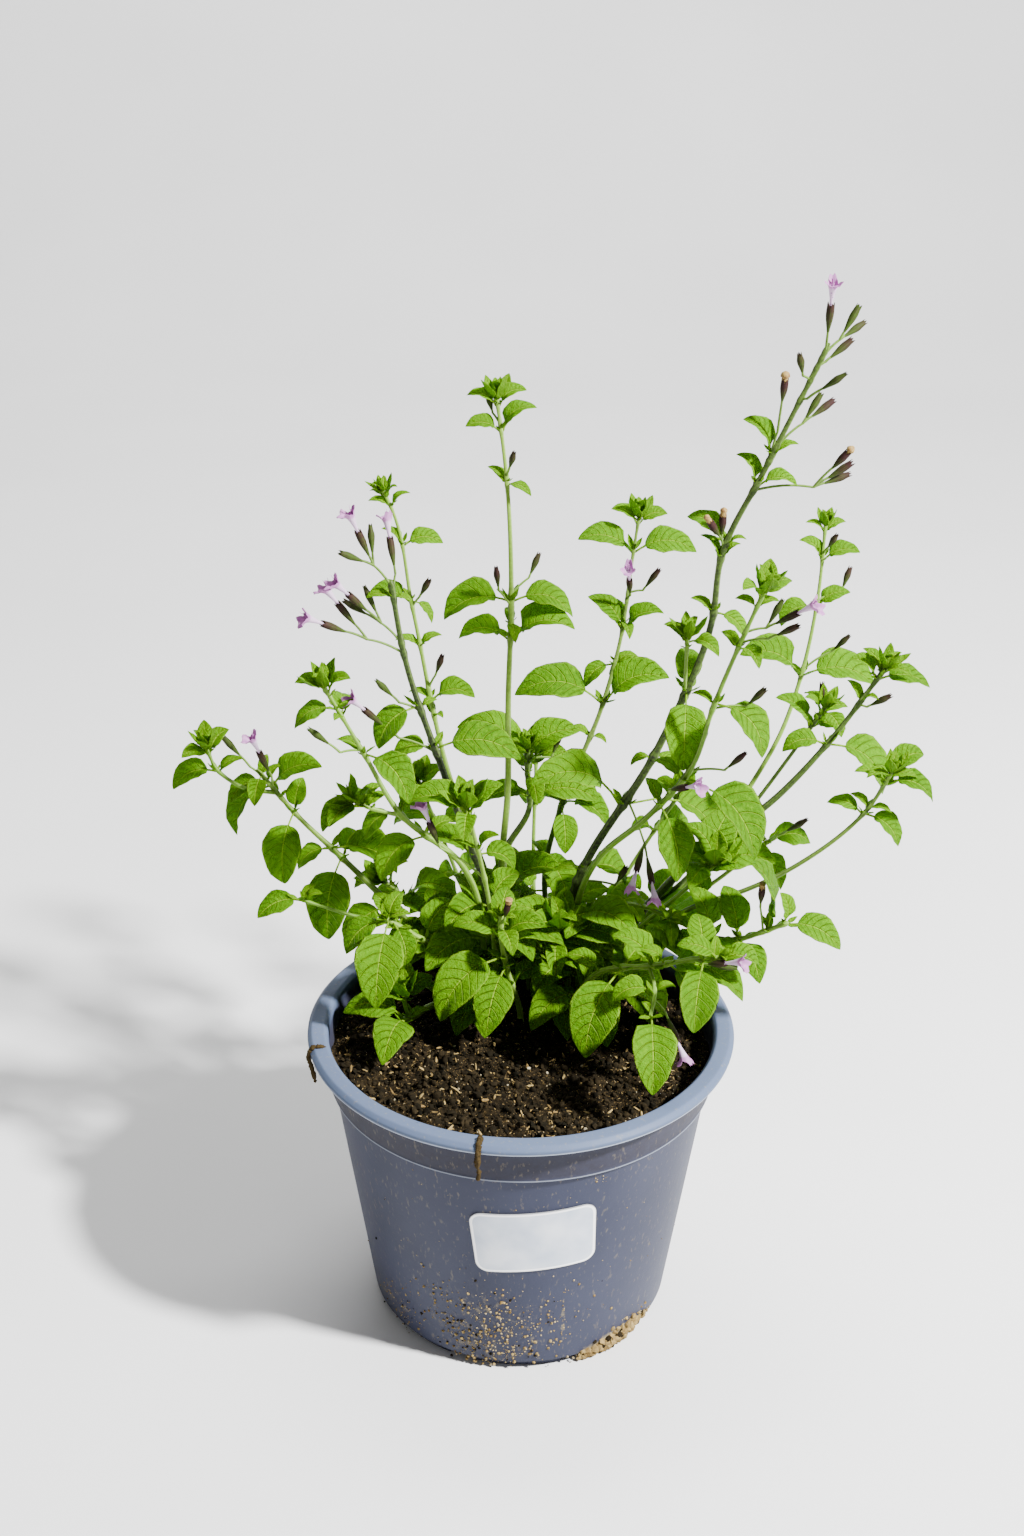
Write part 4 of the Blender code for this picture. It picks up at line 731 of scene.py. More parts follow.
def closed_shells(rings, marks, slot=0):
    """Many tubes at once, each from its rings, with a pole closing each end.

    rings is (tube, ring, corner, xyz), the corners going counter-clockwise about the tube's way, and
    marks is (tube, ring, corner, channel). A quad joins each corner to the next one and to the next ring.
    """
    tubes, count, size, _ = rings.shape
    each = count * size + 2
    points, marks = (
        np.concatenate([
            held.reshape(tubes, -1, held.shape[-1]),
            np.stack([held[:, 0].mean(axis=1), held[:, -1].mean(axis=1)], axis=1),
        ], axis=1).reshape(-1, held.shape[-1])
        for held in (rings, marks)
    )
    ring, corner = np.meshgrid(np.arange(count - 1), np.arange(size), indexing="ij")
    here = ring * size + corner
    beside = ring * size + (corner + 1) % size
    quads = np.stack([here, beside, beside + size, here + size], axis=-1).reshape(-1, 4)
    first = np.arange(size)
    after = (first + 1) % size
    last = (count - 1) * size
    caps = np.concatenate([
        np.stack([np.full(size, each - 2), after, first], axis=-1),
        np.stack([np.full(size, each - 1), last + first, last + after], axis=-1),
    ])
    start = (np.arange(tubes) * each)[:, None, None]
    faces = [(group[None] + start).reshape(-1, group.shape[1]) for group in (quads, caps)]
    return Shell(points, faces, marks, slot)


def make_piece(name, shells, materials, smooth_below=60.0):
    """One object from shells in mm, with the marks kept as the attributes place and kind."""
    points = np.concatenate([shell.points for shell in shells]) * MM
    marks = np.concatenate([shell.marks for shell in shells])
    corners, sizes, slots = [], [], []
    offset = 0
    for shell in shells:
        for faces in shell.faces:
            corners.append((faces + offset).ravel())
            sizes.append(np.full(len(faces), faces.shape[1]))
            slots.append(np.full(len(faces), shell.slot))
        offset += len(shell.points)
    corners = np.concatenate(corners).astype(np.int32)
    sizes = np.concatenate(sizes)
    mesh = bpy.data.meshes.new(name)
    mesh.vertices.add(len(points))
    mesh.vertices.foreach_set("co", points.astype(np.float32).ravel())
    mesh.loops.add(len(corners))
    mesh.loops.foreach_set("vertex_index", corners)
    mesh.polygons.add(len(sizes))
    mesh.polygons.foreach_set("loop_start", (np.cumsum(sizes) - sizes).astype(np.int32))
    mesh.polygons.foreach_set("material_index", np.concatenate(slots).astype(np.int32))
    mesh.update(calc_edges=True)
    for channel, label in ((0, "place"), (3, "kind")):
        held = mesh.attributes.new(label, "FLOAT_VECTOR", "POINT")
        held.data.foreach_set("vector", marks[:, channel : channel + 3].astype(np.float32).ravel())
    for material in materials:
        mesh.materials.append(material)
    mesh.shade_smooth()
    mesh.set_sharp_from_angle(angle=math.radians(smooth_below))
    piece = bpy.data.objects.new(name, mesh)
    bpy.context.scene.collection.objects.link(piece)
    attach(piece, "root")
    return piece


def across_of(ways):
    """A direction across each of a line's ways that never turns about it: the least aligned axis."""
    axis = np.eye(3)[np.abs(ways).max(axis=0).argmin()]
    return unit(axis - ways * (ways @ axis)[:, None])


def tube(points, halves, sides, power=2.0, along=0.0, tone=0.0, age=0.0, slot=0):
    """A tube round a line: each ring is a superellipse of the given half width and power."""
    ways = unit(np.gradient(points, axis=0))
    u = across_of(ways)
    v = np.cross(ways, u)
    phi = math.tau * (np.arange(sides) + 0.5) / sides
    c, s = np.cos(phi), np.sin(phi)
    reach = (np.abs(c) ** power + np.abs(s) ** power) ** (-1 / power)
    ring = u[:, None] * (c * reach)[None, :, None] + v[:, None] * (s * reach)[None, :, None]
    rings = (points[:, None] + ring * halves[:, None, None])[None]
    along, tone, age = (np.reshape(mark, (-1, 1)) for mark in (along, tone, age))
    return closed_shells(rings, marks_for(rings, along, phi / math.tau, 0.0, tone, age), slot)


# Leaves

BLADE_ROWS, BLADE_SIDES = 13, 16
SMALL_ROWS, SMALL_SIDES = 8, 12
SMALL_LEAF = 12.0  # longest leaf in mm that is drawn coarsely
PETIOLE_ROWS = 3
PETIOLE_HALF = 0.5
BLADE_HALF = 0.16  # half the blade's thickness
KEEL = 0.4  # how far the midrib stands out underneath
DROOP = 0.035  # how far the tip sags, as a share of the length
ROLL_MOST = 14  # most that a blade rolls about its midrib, in degrees
FOLD = (0.34, 0.78)  # rise of the halves from the midrib, and how they round over to the margin
DOME = (0.14, 0.34)
RIPPLE, RIPPLES = 0.08, 2.3  # height, as a share of the half width, and waves along the margin
SCALLOP, SCALLOPS = 0.03, 6.5  # depth, as a share of the half width, and teeth along the margin


def blade_outline(along):
    """Half width of an ovate blade at a share of its length, as a share of its widest half width."""
    return 2.45 * along**0.5 * (1 - along) ** 0.85


def leaf_shells(leaves, rng, rows, sides):
    """Folded, arched blades on their petioles, each one closed tube that flattens into the blade.

    The midrib is a quadratic curve from the root over its arch to the tip. Round it each ring has
    width W cos(phi) and thickness H sin(phi), lifted by W (fold |a| - dome a^2) at the share a across,
    so that the halves rise from the midrib and round over to the margin, which ripples along its length.
    """
    n = len(leaves)
    root = np.array([leaf.root for leaf in leaves])
    turn, reach, rise, width = (np.array([getattr(leaf, f) for leaf in leaves]) for f in Leaf._fields[1:5])
    heart = np.array([leaf.heart for leaf in leaves])
    length = np.hypot(reach, rise)
    out, level = compass(turn), compass(turn + 90)
    bow = LEAF_BOW * rng.uniform(0.85, 1.2, n) * np.where(heart, -0.4, 1.0)
    chord = reach[:, None] * out + rise[:, None] * UP
    middle = 0.5 * chord + 2 * bow[:, None] * (reach[:, None] * UP - rise[:, None] * out)
    petiole = np.where(length >= PETIOLE_FROM, np.maximum(PETIOLE_SHARE, 1 - BLADE_MOST / length), 0.05)
    petiole = petiole[:, None]
    blade = 0.5 - 0.5 * np.cos(np.pi * np.linspace(0, 1, rows + 1))[1:]
    blade[-1] = 0.995
    stem_part = np.linspace(0, 1, PETIOLE_ROWS)
    share = np.concatenate([petiole * stem_part, petiole + (1 - petiole) * blade], axis=1)
    q = np.tile(np.concatenate([np.zeros(PETIOLE_ROWS), blade]), (n, 1))
    s = share[..., None]
    spine = root[:, None] + 2 * s * (1 - s) * middle[:, None] + s**2 * chord[:, None]
    spine = spine - UP * (DROOP * length[:, None] * q**4)[..., None]
    way = unit(2 * (1 - 2 * s) * middle[:, None] + 2 * s * chord[:, None])
    pull = (np.where(heart, 0.15, LIGHT_PULL)[:, None] * np.minimum(3 * share, 1))[..., None]
    up = (1 - pull) * np.cross(way, level[:, None]) + pull * LIGHT_SIDE
    up = unit(up - way * np.sum(up * way, axis=-1, keepdims=True))
    side = np.cross(up, way)
    roll = np.radians(rng.uniform(-ROLL_MOST, ROLL_MOST, n))[:, None] * np.clip(q, 0, 1)
    c, s = np.cos(roll)[..., None], np.sin(roll)[..., None]
    side, up = side * c + up * s, up * c - side * s
    teeth = np.clip((length - SMALL_LEAF) / 10, 0, 1)[:, None] * SCALLOP * np.cos(math.tau * SCALLOPS * q)
    thin = (np.minimum(length / 16.0, 1.0) * np.where(heart, 0.5, 1.0))[:, None]
    slim = np.where(length < SMALL_LEAF, 0.82, 1.0)[:, None]
    wide = slim * 0.5 * width[:, None] * blade_outline(np.clip(q, 1e-3, 0.997)) * (1 + teeth)
    on_blade = smoothstep(0.0, 0.12, q)
    wide = PETIOLE_HALF * thin * (1 - on_blade) * (1 - 0.25 * (q <= 0)) + wide * (q > 0)
    high = PETIOLE_HALF * thin * (1 - on_blade) + BLADE_HALF * on_blade * (1 - 0.6 * q)
    phi = math.tau * np.arange(sides) / sides
    across = np.sign(np.cos(phi)) * np.abs(np.cos(phi)) ** 1.3
    across[np.abs(across) < 1e-6] = 0.0
    fold = rng.uniform(*FOLD, n)[:, None, None]
    dome = rng.uniform(*DOME, n)[:, None, None]
    ripple = RIPPLE * np.sin(math.tau * (RIPPLES * q + rng.uniform(0, 1, n)[:, None]))[..., None]
    curl = fold * np.abs(across) - dome * across**2 + ripple * across**2 * np.sign(across)
    keel = (KEEL * thin * (1 - q) ** 0.7 * on_blade)[..., None] * (np.abs(phi - 1.5 * np.pi) < 0.01)
    wide, high, on_blade = wide[..., None], high[..., None], on_blade[..., None]
    tall = high * np.sin(phi) + wide * curl * on_blade - keel
    rings = spine[:, :, None] + side[:, :, None] * (wide * across)[..., None]
    rings = rings + up[:, :, None] * tall[..., None]
    along = np.tile(np.concatenate([stem_part - 1, blade]), (n, 1))[..., None]
    tone = rng.uniform(0, 1, n)[:, None, None]
    young = np.where(heart, 1.0, np.clip((17 - length) / 11, 0, 1))[:, None, None]
    half = (0.5 * width)[:, None, None]
    return closed_shells(rings, marks_for(rings, along, across, np.sin(phi) < -0.01, tone, young, half))


def leaves_of(leaves, rng):
    """Large leaves finely, small ones coarsely, each where it was packed."""
    large = [leaf for leaf in leaves if length_of(leaf) > SMALL_LEAF]
    small = [leaf for leaf in leaves if length_of(leaf) <= SMALL_LEAF]
    sorts = ((large, BLADE_ROWS, BLADE_SIDES), (small, SMALL_ROWS, SMALL_SIDES))
    return [leaf_shells(found, rng, rows, sides) for found, rows, sides in sorts if found]


# Stems and calyces

STEM_STEP = 2.5
STEM_SIDES = 12
STEM_POWER = 3.4
SWELL, SWELL_REACH = 0.38, 1.8  # bulge at a node, as a share of the half width, and its half length in mm
STALK_ROWS, STALK_SIDES, STALK_POWER = 7, 8, 2.2
CALYX_SIDES, CALYX_ROWS = 20, 9
CALYX_INSIDE = (1.0, 0.9, 0.72)  # where the inner wall's rings lie, as shares of the length
CALYX_WALL = 0.8  # inner half width as a share of the outer one
RIBS, RIB_HEIGHT = 10, 0.07
TEETH, TOOTH = 5, 1.5  # how many, and their length in mm
BUD_CLOSED = (0.15, 0.6)
RIPE = (0.15, 0.85)
DRY_SIDES, DRY_ROWS = 7, 8
STALK_SLOT, CALYX_SLOT, DRY_SLOT = 0, 1, 2


def stem_shell(limb, tone):
    """A stem with rounded corners, swollen at its nodes by a bell curve, and paler towards its tip."""
    route = limb.route
    end = route.length + 0.3
    marks = np.linspace(0, end, max(int(route.length / STEM_STEP), 4))
    nodes = np.array(limb.nodes) if limb.nodes else np.array([-99.0])
    marks = np.unique(np.concatenate([marks, nodes - 1.2, nodes, nodes + 1.2]).clip(0, end).round(2))
    inside = np.minimum(marks, route.length)
    line = route.at(inside) + np.outer(np.maximum(marks - route.length, 0), route.along(route.length))
    swell = 1 + SWELL * np.exp(-(((marks[:, None] - nodes[None]) / SWELL_REACH) ** 2)).max(axis=1)
    half = route.half(inside) * swell
    half[-1] *= 0.5
    age = limb.age * (1 - 0.15 * smoothstep(0.5, 1.0, marks / route.length))
    return tube(line, half, STEM_SIDES, STEM_POWER, tone=tone, age=age, slot=STALK_SLOT)


def bowed(start, end, bow, count):
    """Points of a quadratic curve between two places, lifted in its middle by bow times its length."""
    t = np.linspace(0, 1, count)[:, None]
    lift = 2 * bow * np.linalg.norm(end - start) * UP
    return (1 - t) ** 2 * start + 2 * t * (1 - t) * (0.5 * (start + end) + lift) + t**2 * end


def stalk_shell(start, end, bow, tone, age):
    """A thin round stalk, a little thinner at its end."""
    halves = np.linspace(STALK_HALF, 0.85 * STALK_HALF, STALK_ROWS)
    line = bowed(start, end, bow, STALK_ROWS)
    return tube(line, halves, STALK_SIDES, STALK_POWER, tone=tone, age=age, slot=STALK_SLOT)


def calyx_shells(flowers, rng):
    """Ribbed calyx tubes with five teeth, open with an inner wall, or closed over a bud.

    The half width rises along the tube as a sine bell, ten ribs stand out by a cosine round it, and the
    mouth's ring runs forward by a triangle wave into the teeth.
    """
    n = len(flowers)
    step = np.array([flower.step for flower in flowers])
    mouth = np.array([flower.fork for flower in flowers]) + step
    way = unit(step)
    kinds = np.array([flower.kind for flower in flowers])
    length = np.minimum(CALYX_LENGTH, CALYX_SHARE * np.linalg.norm(step, axis=1))
    back = np.where(kinds == "dry", 0.55 * DRY_LENGTH, 0.0)
    axis = np.where(np.abs(way[:, 2:3]) > 0.99, np.array([1.0, 0.0, 0.0]), UP)
    u = unit(np.cross(axis, way))[:, None, None]
    v = np.cross(way, u[:, 0, 0])[:, None, None]
    phi = math.tau * np.arange(CALYX_SIDES) / CALYX_SIDES
    t = np.concatenate([np.linspace(0, 1, CALYX_ROWS), CALYX_INSIDE])
    inner = np.arange(len(t)) >= CALYX_ROWS
    closed = ((kinds == "bud") * rng.uniform(*BUD_CLOSED, n))[:, None]
    belly = 0.36 + 0.66 * np.sin(np.pi * t**1.1 * 0.62) ** 1.1
    radius = 1.16 * CALYX_HALF * belly * (1 - closed * smoothstep(0.62, 1.05, t))
    radius = radius * np.where(inner, CALYX_WALL, 1.0)
    rise = (np.sin(np.pi * t.clip(0.05, 0.98)) * ~inner)[:, None]
    ribs = 1 + RIB_HEIGHT * np.cos(RIBS * phi) * rise
    tooth = np.abs(((TEETH * phi / math.tau) % 1) - 0.5) * 2
    teeth = TOOTH * tooth * smoothstep(0.8, 1.0, t)[:, None] * (1 - 0.5 * closed)[..., None]
    ahead = ((length - back)[:, None] * t - length[:, None])[..., None] - 0.6 + teeth
    rings = mouth[:, None, None] + way[:, None, None] * ahead[..., None]
    ring = np.cos(phi)[:, None] * u + np.sin(phi)[:, None] * v
    rings = rings + (radius[..., None] * ribs)[..., None] * ring
    tone = rng.uniform(0, 1, n)[:, None, None]
    ripe = np.select([kinds == "dry", kinds == "open"], [0.95, 0.7], rng.uniform(*RIPE, n))[:, None, None]
    marks = marks_for(rings, t[:, None], phi / math.tau, inner[:, None], tone, ripe)
    return closed_shells(rings, marks, CALYX_SLOT)


def withered_shell(flower, rng):
    """Shrunken tan petals left in a calyx: a tube that narrows and crumples, with noise on its rings."""
    t = np.linspace(0, 1, DRY_ROWS)
    line = flower.fork + flower.step + np.outer(DRY_LENGTH * (t - 0.75), unit(flower.step))
    line = line + 0.25 * np.outer(t**2, rng.uniform(-1, 1, 3))
    halves = CALYX_HALF * (0.6 + 0.7 * np.sin(2.4 * t)) * rng.uniform(0.65, 1.2, DRY_ROWS)
    halves[-1] *= 0.4
    return tube(line, halves, DRY_SIDES, along=t, tone=rng.uniform(), slot=DRY_SLOT)


# Petals

PETAL_SIDES, TUBE_ROWS, LIP_ROWS = 28, 6, 8
PETAL_THICK = 0.11
TUBE_END = 6.2
TUBE_FOOT, TUBE_FLARE = 0.5, 0.95  # half width at the foot, and what it gains to the throat
COLLAR = 1.3  # petal before the lobes begin
# Lobes: length in mm, half width in degrees, and depth and half width of the notch at its end
UPPER_LOBE = (3.3, 42, 0.28, 9)
LOWER_LOBE = (3.5, 27, 0.25, 7)
SIDE_LOBES = (2.7, 23, 58)  # length, half width and how far from the lower one
FLARE_UP, FLARE_DOWN = (24, 60), (60, 95)  # bend away from the axis and over how many degrees
RUFFLE, RUFFLES = 0.3, 9
# Filaments and the longer style: offset across the tube, and reach from the mouth in mm
STAMENS = ((-1.5, 7.6), (-0.5, 8.8), (0.5, 8.4), (1.5, 7.2), (0.0, 10.6))
STAMEN_ROWS = 6


def bell(angle, middle, width):
    return np.exp(-(((angle - middle) / width) ** 2))


def petal_shell(mouth, way, across, rng):
    """A two-lipped corolla: a flared tube whose edge runs out into lobes, with an inner wall.

    Past the throat each direction phi runs on by the length L(phi), a sum of bell curves: one notched
    lobe above, two side lobes and a notched middle lobe below, and bends away from the axis by its flare.
    """
    up = np.cross(way, across)
    phi = 360.0 * np.arange(PETAL_SIDES) / PETAL_SIDES
    off_low = (phi - 270 + 180) % 360 - 180
    length = COLLAR
    for off, (long, wide, notch, gap) in ((phi - 90, UPPER_LOBE), (off_low, LOWER_LOBE)):
        length = length + long * bell(off, 0, wide) * (1 - notch * bell(off, 0, gap))
    long, wide, aside = SIDE_LOBES
    length = length + long * (bell(off_low, -aside, wide) + bell(off_low, aside, wide))
    (high, high_reach), (low, low_reach) = FLARE_UP, FLARE_DOWN
    flare = np.radians(high * bell(phi, 90, high_reach) + low * bell(off_low, 0, low_reach))
    t = np.linspace(0, 1, TUBE_ROWS)[:, None]
    lip = np.linspace(0, 1, LIP_ROWS + 1)[1:, None]
    bend = flare * (0.45 + 0.45 * lip)
    ruffle = RUFFLE * np.sin(np.radians(RUFFLES * phi) + rng.uniform(0, 6)) * lip**2
    flat = np.zeros(PETAL_SIDES)
    ahead = np.concatenate([TUBE_END * t + flat, TUBE_END + length * lip * np.cos(bend) + ruffle])
    wide = [TUBE_FOOT + TUBE_FLARE * t**1.7 + flat, TUBE_FOOT + TUBE_FLARE + length * lip * np.sin(bend)]
    wide = np.concatenate(wide)
    along = np.concatenate([0.5 * t, 0.5 + 0.5 * lip])
    back = slice(None, 3, -1)
    ahead = np.concatenate([ahead, ahead[back] + 0.06])
    wide = np.concatenate([wide, np.maximum(wide[back] - PETAL_THICK, 0.2)])
    along = np.concatenate([along, along[back]])
    inner = np.arange(len(along)) >= TUBE_ROWS + LIP_ROWS
    angle = np.radians(phi)[:, None]
    root = mouth + way * (SEAT - 0.5)
    rings = root + ahead[..., None] * way + wide[..., None] * (np.cos(angle) * across + np.sin(angle) * up)
    marks = marks_for(rings[None], along, off_low / 180, inner[:, None], rng.uniform())
    return closed_shells(rings[None], marks)


def stamen_shells(mouth, way, across, rng):
    """Four thin filaments and a longer style, each a curve out of the tube under the upper lip."""
    up = np.cross(way, across)
    shells = []
    for k, reach in STAMENS:
        t = np.linspace(0, 1, STAMEN_ROWS)
        line = mouth + np.outer(3 + (reach - 3) * t, way) + np.outer(0.3 + 0.9 * t**2, up)
        line = line + np.outer(0.35 * k * t + 0.15 * rng.uniform(-1, 1) * t, across)
        halves = np.full(STAMEN_ROWS, 0.11)
        halves[-2:] = (0.12, 0.22) if reach < 10 else (0.1, 0.08)
        shells.append(tube(line, halves, 5, along=t, tone=0.5))
    return shells


# Pot, soil and label

POT_COLUMNS = 160
FOOT_GAP_TOP = 2.6
ROUNDING = 0.55
GAP_EDGE = 0.003  # half the width in radians of a foot gap's steep side
DRILL_SIDES, DRILL_REACH = 24, (-1.0, 8.0)
# Crumbly surface of the soil: pitch and height in mm of each layer of noise, and its random start
SOIL_LAYERS = ((9.0, 1.5, 1), (4.2, 1.2, 2), (1.9, 0.8, 3), (1.1, 0.45, 4))
NOISE_TABLE = 256
SOIL_RINGS, SOIL_COLUMNS = 110, 520
LABEL_COLUMNS, LABEL_ROWS = 56, 14
LABEL_BACK = 0.05  # gap behind the sheet


def wall_radius(height):
    """Outer radius of the tapered wall below the collar, at a height in mm."""
    share = (height - WALL_FOOT_HEIGHT) / (COLLAR_HEIGHT - WALL_FOOT_HEIGHT)
    return WALL_FOOT_RADIUS + share * (WALL_TOP_RADIUS - WALL_FOOT_RADIUS)


def rounded(profile, size):
    """The profile with each corner cut off at a distance, but at most 40 % of a leg, by a parabola."""
    p = np.array(profile, float)
    found = [p[:1]]
    t = np.linspace(0, 1, 5)[:, None]
    for before, corner, after in zip(p, p[1:], p[2:]):
        a, b = before - corner, after - corner
        start = corner + a * min(size / np.linalg.norm(a), 0.4)
        end = corner + b * min(size / np.linalg.norm(b), 0.4)
        found.append((1 - t) ** 2 * start + 2 * t * (1 - t) * corner + t**2 * end)
    return np.concatenate(found + [p[-1:]])


def turned_shell(profile, angles):
    """A profile from the middle of the underside round to the middle of the top, turned about Z."""
    ring = np.stack([np.cos(angles), np.sin(angles), np.zeros_like(angles)], axis=-1)
    rings = (profile[1:-1, 0][:, None, None] * ring + profile[1:-1, 1][:, None, None] * UP)[None]
    return closed_shells(rings, marks_for(rings))


def pot_shell():
    """The pot's profile with its corners rounded, and the foot ring lifted to a gap at eight places."""
    top = POT_HEIGHT
    profile = [
        (0, 0), (DISC_RADIUS, 0),
        (DISC_RADIUS + 3.0, FLOOR_RAISE), (FOOT_INNER_RADIUS, FLOOR_RAISE),
        (FOOT_INNER_RADIUS + 0.2, 0), (FOOT_OUTER_RADIUS - 0.2, 0),
        (FOOT_OUTER_RADIUS, FLOOR_RAISE + 0.4), (WALL_FOOT_RADIUS, WALL_FOOT_HEIGHT),
        (WALL_TOP_RADIUS, COLLAR_HEIGHT + 0.4), (COLLAR_RADIUS + 0.2, COLLAR_HEIGHT + 0.9),
        (COLLAR_RADIUS, COLLAR_HEIGHT + 2.2), (RIM_INNER_RADIUS + 2.6, top - 2.2),
        (RIM_RADIUS - 2.2, top - 2.2), (RIM_RADIUS - 1.6, top - RIM_LIP + 0.2),
        (RIM_RADIUS - 0.4, top - RIM_LIP), (RIM_RADIUS, top - 1.8),
        (RIM_RADIUS - 1.8, top - 0.2), (RIM_INNER_RADIUS + 1.4, top),
        (RIM_INNER_RADIUS, top - 1.4), (COLLAR_RADIUS - WALL, COLLAR_HEIGHT + 1.8),
        (WALL_TOP_RADIUS - WALL, COLLAR_HEIGHT), (WALL_FOOT_RADIUS - WALL, FLOOR_RAISE + WALL),
        (DISC_RADIUS + 2.4, FLOOR_RAISE + WALL), (DISC_RADIUS - 0.6, WALL), (0, WALL),
    ]
    half_gap = 0.5 * FOOT_GAP_WIDTH / (0.5 * (FOOT_INNER_RADIUS + FOOT_OUTER_RADIUS))
    pitch = math.tau / DRAIN_COUNT
    gaps = pitch * (np.arange(DRAIN_COUNT) + 0.5)
    edges = [gaps + side * half_gap + step for side in (-1, 1) for step in (-GAP_EDGE, GAP_EDGE)]
    angles = np.sort(np.concatenate([math.tau * np.arange(POT_COLUMNS) / POT_COLUMNS, *edges]))
    shell = turned_shell(rounded(profile, ROUNDING), angles)
    x, y, z = shell.points.T
    radius = np.hypot(x, y)
    off = (np.arctan2(y, x) - gaps[0] + 0.5 * pitch) % pitch - 0.5 * pitch
    on_ring = (radius > FOOT_INNER_RADIUS - 0.1) & (radius < FOOT_OUTER_RADIUS + 0.1)
    shell.points[:, 2] = np.where(on_ring & (np.abs(off) < half_gap), np.maximum(z, FOOT_GAP_TOP), z)
    return shell


def drilled(pot):
    """Takes the drain holes out of the pot's floor with one exact Boolean."""
    sides = compass(np.arange(DRILL_SIDES) * 360.0 / DRILL_SIDES) * DRAIN_RADIUS
    profile = sides + UP * np.array(DRILL_REACH)[:, None, None]
    middles = DRAIN_CIRCLE * compass(np.arange(DRAIN_COUNT) * 360.0 / DRAIN_COUNT)
    rings = middles[:, None, None] + profile[None]
    drill = make_piece("drill", [closed_shells(rings, marks_for(rings))], [])
    cut = pot.modifiers.new("drain holes", "BOOLEAN")
    cut.object = drill
    cut.operation = "DIFFERENCE"
    cut.solver = "EXACT"
    bpy.context.view_layer.update()
    solid = bpy.data.meshes.new_from_object(pot.evaluated_get(bpy.context.evaluated_depsgraph_get()))
    pot.modifiers.clear()
    pot.data = solid
    bpy.data.objects.remove(drill)


def value_noise(x, y, pitch, seed):
    """Smooth noise between -1 and 1: random values on a grid of the given pitch, blended between."""
    table = np.random.default_rng(seed).uniform(-1, 1, (NOISE_TABLE, NOISE_TABLE))
    u, v = x / pitch + 97.0, y / pitch + 61.0
    i, j = np.floor(u).astype(int), np.floor(v).astype(int)
    s, t = smoothstep(0, 1, u - i), smoothstep(0, 1, v - j)
    i, j = i % NOISE_TABLE, j % NOISE_TABLE
    k, l = (i + 1) % NOISE_TABLE, (j + 1) % NOISE_TABLE
    return (1 - s) * ((1 - t) * table[i, j] + t * table[i, l]) + s * ((1 - t) * table[k, j] + t * table[k, l])


def soil_level(x, y):
    """Height of the packed soil in mm: a shallow dip towards the wall with low lumps on it."""
    lumps = np.sin(0.19 * x + 0.7) * np.cos(0.23 * y - 0.4) + 0.6 * np.sin(0.41 * x - 0.33 * y)
    rim_share = (np.hypot(x, y) / RIM_INNER_RADIUS) ** 2
    calm = np.minimum(1.0, np.hypot(x - 4, y - 36) / 34.0)
    return SOIL_HEIGHT - SOIL_DIP * rim_share + SOIL_RELIEF * lumps * calm * 0.6


def soil_top(x, y):
    """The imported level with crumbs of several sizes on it, as a sum of smooth noise."""
    return soil_level(x, y) + sum(size * value_noise(x, y, pitch, seed) for pitch, size, seed in SOIL_LAYERS)


def soil_shell():
    """The soil turned about Z inside the pot, its top raised to the crumbly level."""
    edge = COLLAR_RADIUS - WALL + 0.6 * (RIM_INNER_RADIUS - COLLAR_RADIUS + WALL) - 0.4
    under = [
        (0, WALL + SEAT),
        (DISC_RADIUS - 0.6 - SEAT, WALL + SEAT),
        (DISC_RADIUS + 2.4 - SEAT, FLOOR_RAISE + WALL + SEAT),
        (WALL_FOOT_RADIUS - WALL - SEAT, FLOOR_RAISE + WALL + SEAT),
        (WALL_TOP_RADIUS - WALL - SEAT, COLLAR_HEIGHT),
        (COLLAR_RADIUS - WALL - SEAT, COLLAR_HEIGHT + 1.8 + SEAT),
        (edge, SOIL_HEIGHT - SOIL_DIP - 1.0),
    ]
    radii = edge * np.sqrt(np.linspace(1, 0, SOIL_RINGS + 1))
    top = np.stack([radii, np.full(SOIL_RINGS + 1, SOIL_HEIGHT)], axis=-1)
    angles = math.tau * np.arange(SOIL_COLUMNS) / SOIL_COLUMNS
    shell = turned_shell(np.concatenate([np.array(under, float), top]), angles)
    x, y, z = shell.points.T
    shell.points[:, 2] = np.where(z > SOIL_HEIGHT - 0.5, soil_top(x, y), z)
    return shell


def on_wall(across, up, off):
    """A place on the label's plan, turned by its tilt and laid round the wall at a distance off it."""
    tilt = math.radians(LABEL_TILT)
    arc = across * math.cos(tilt) - up * math.sin(tilt) + LABEL_ARC_OFFSET
    height = up * math.cos(tilt) + across * math.sin(tilt) + LABEL_MIDDLE_HEIGHT
    radius = wall_radius(height) + off
    angle = arc / wall_radius(LABEL_MIDDLE_HEIGHT) - 0.5 * math.pi
    return np.stack([radius * np.cos(angle), radius * np.sin(angle), height], axis=-1)


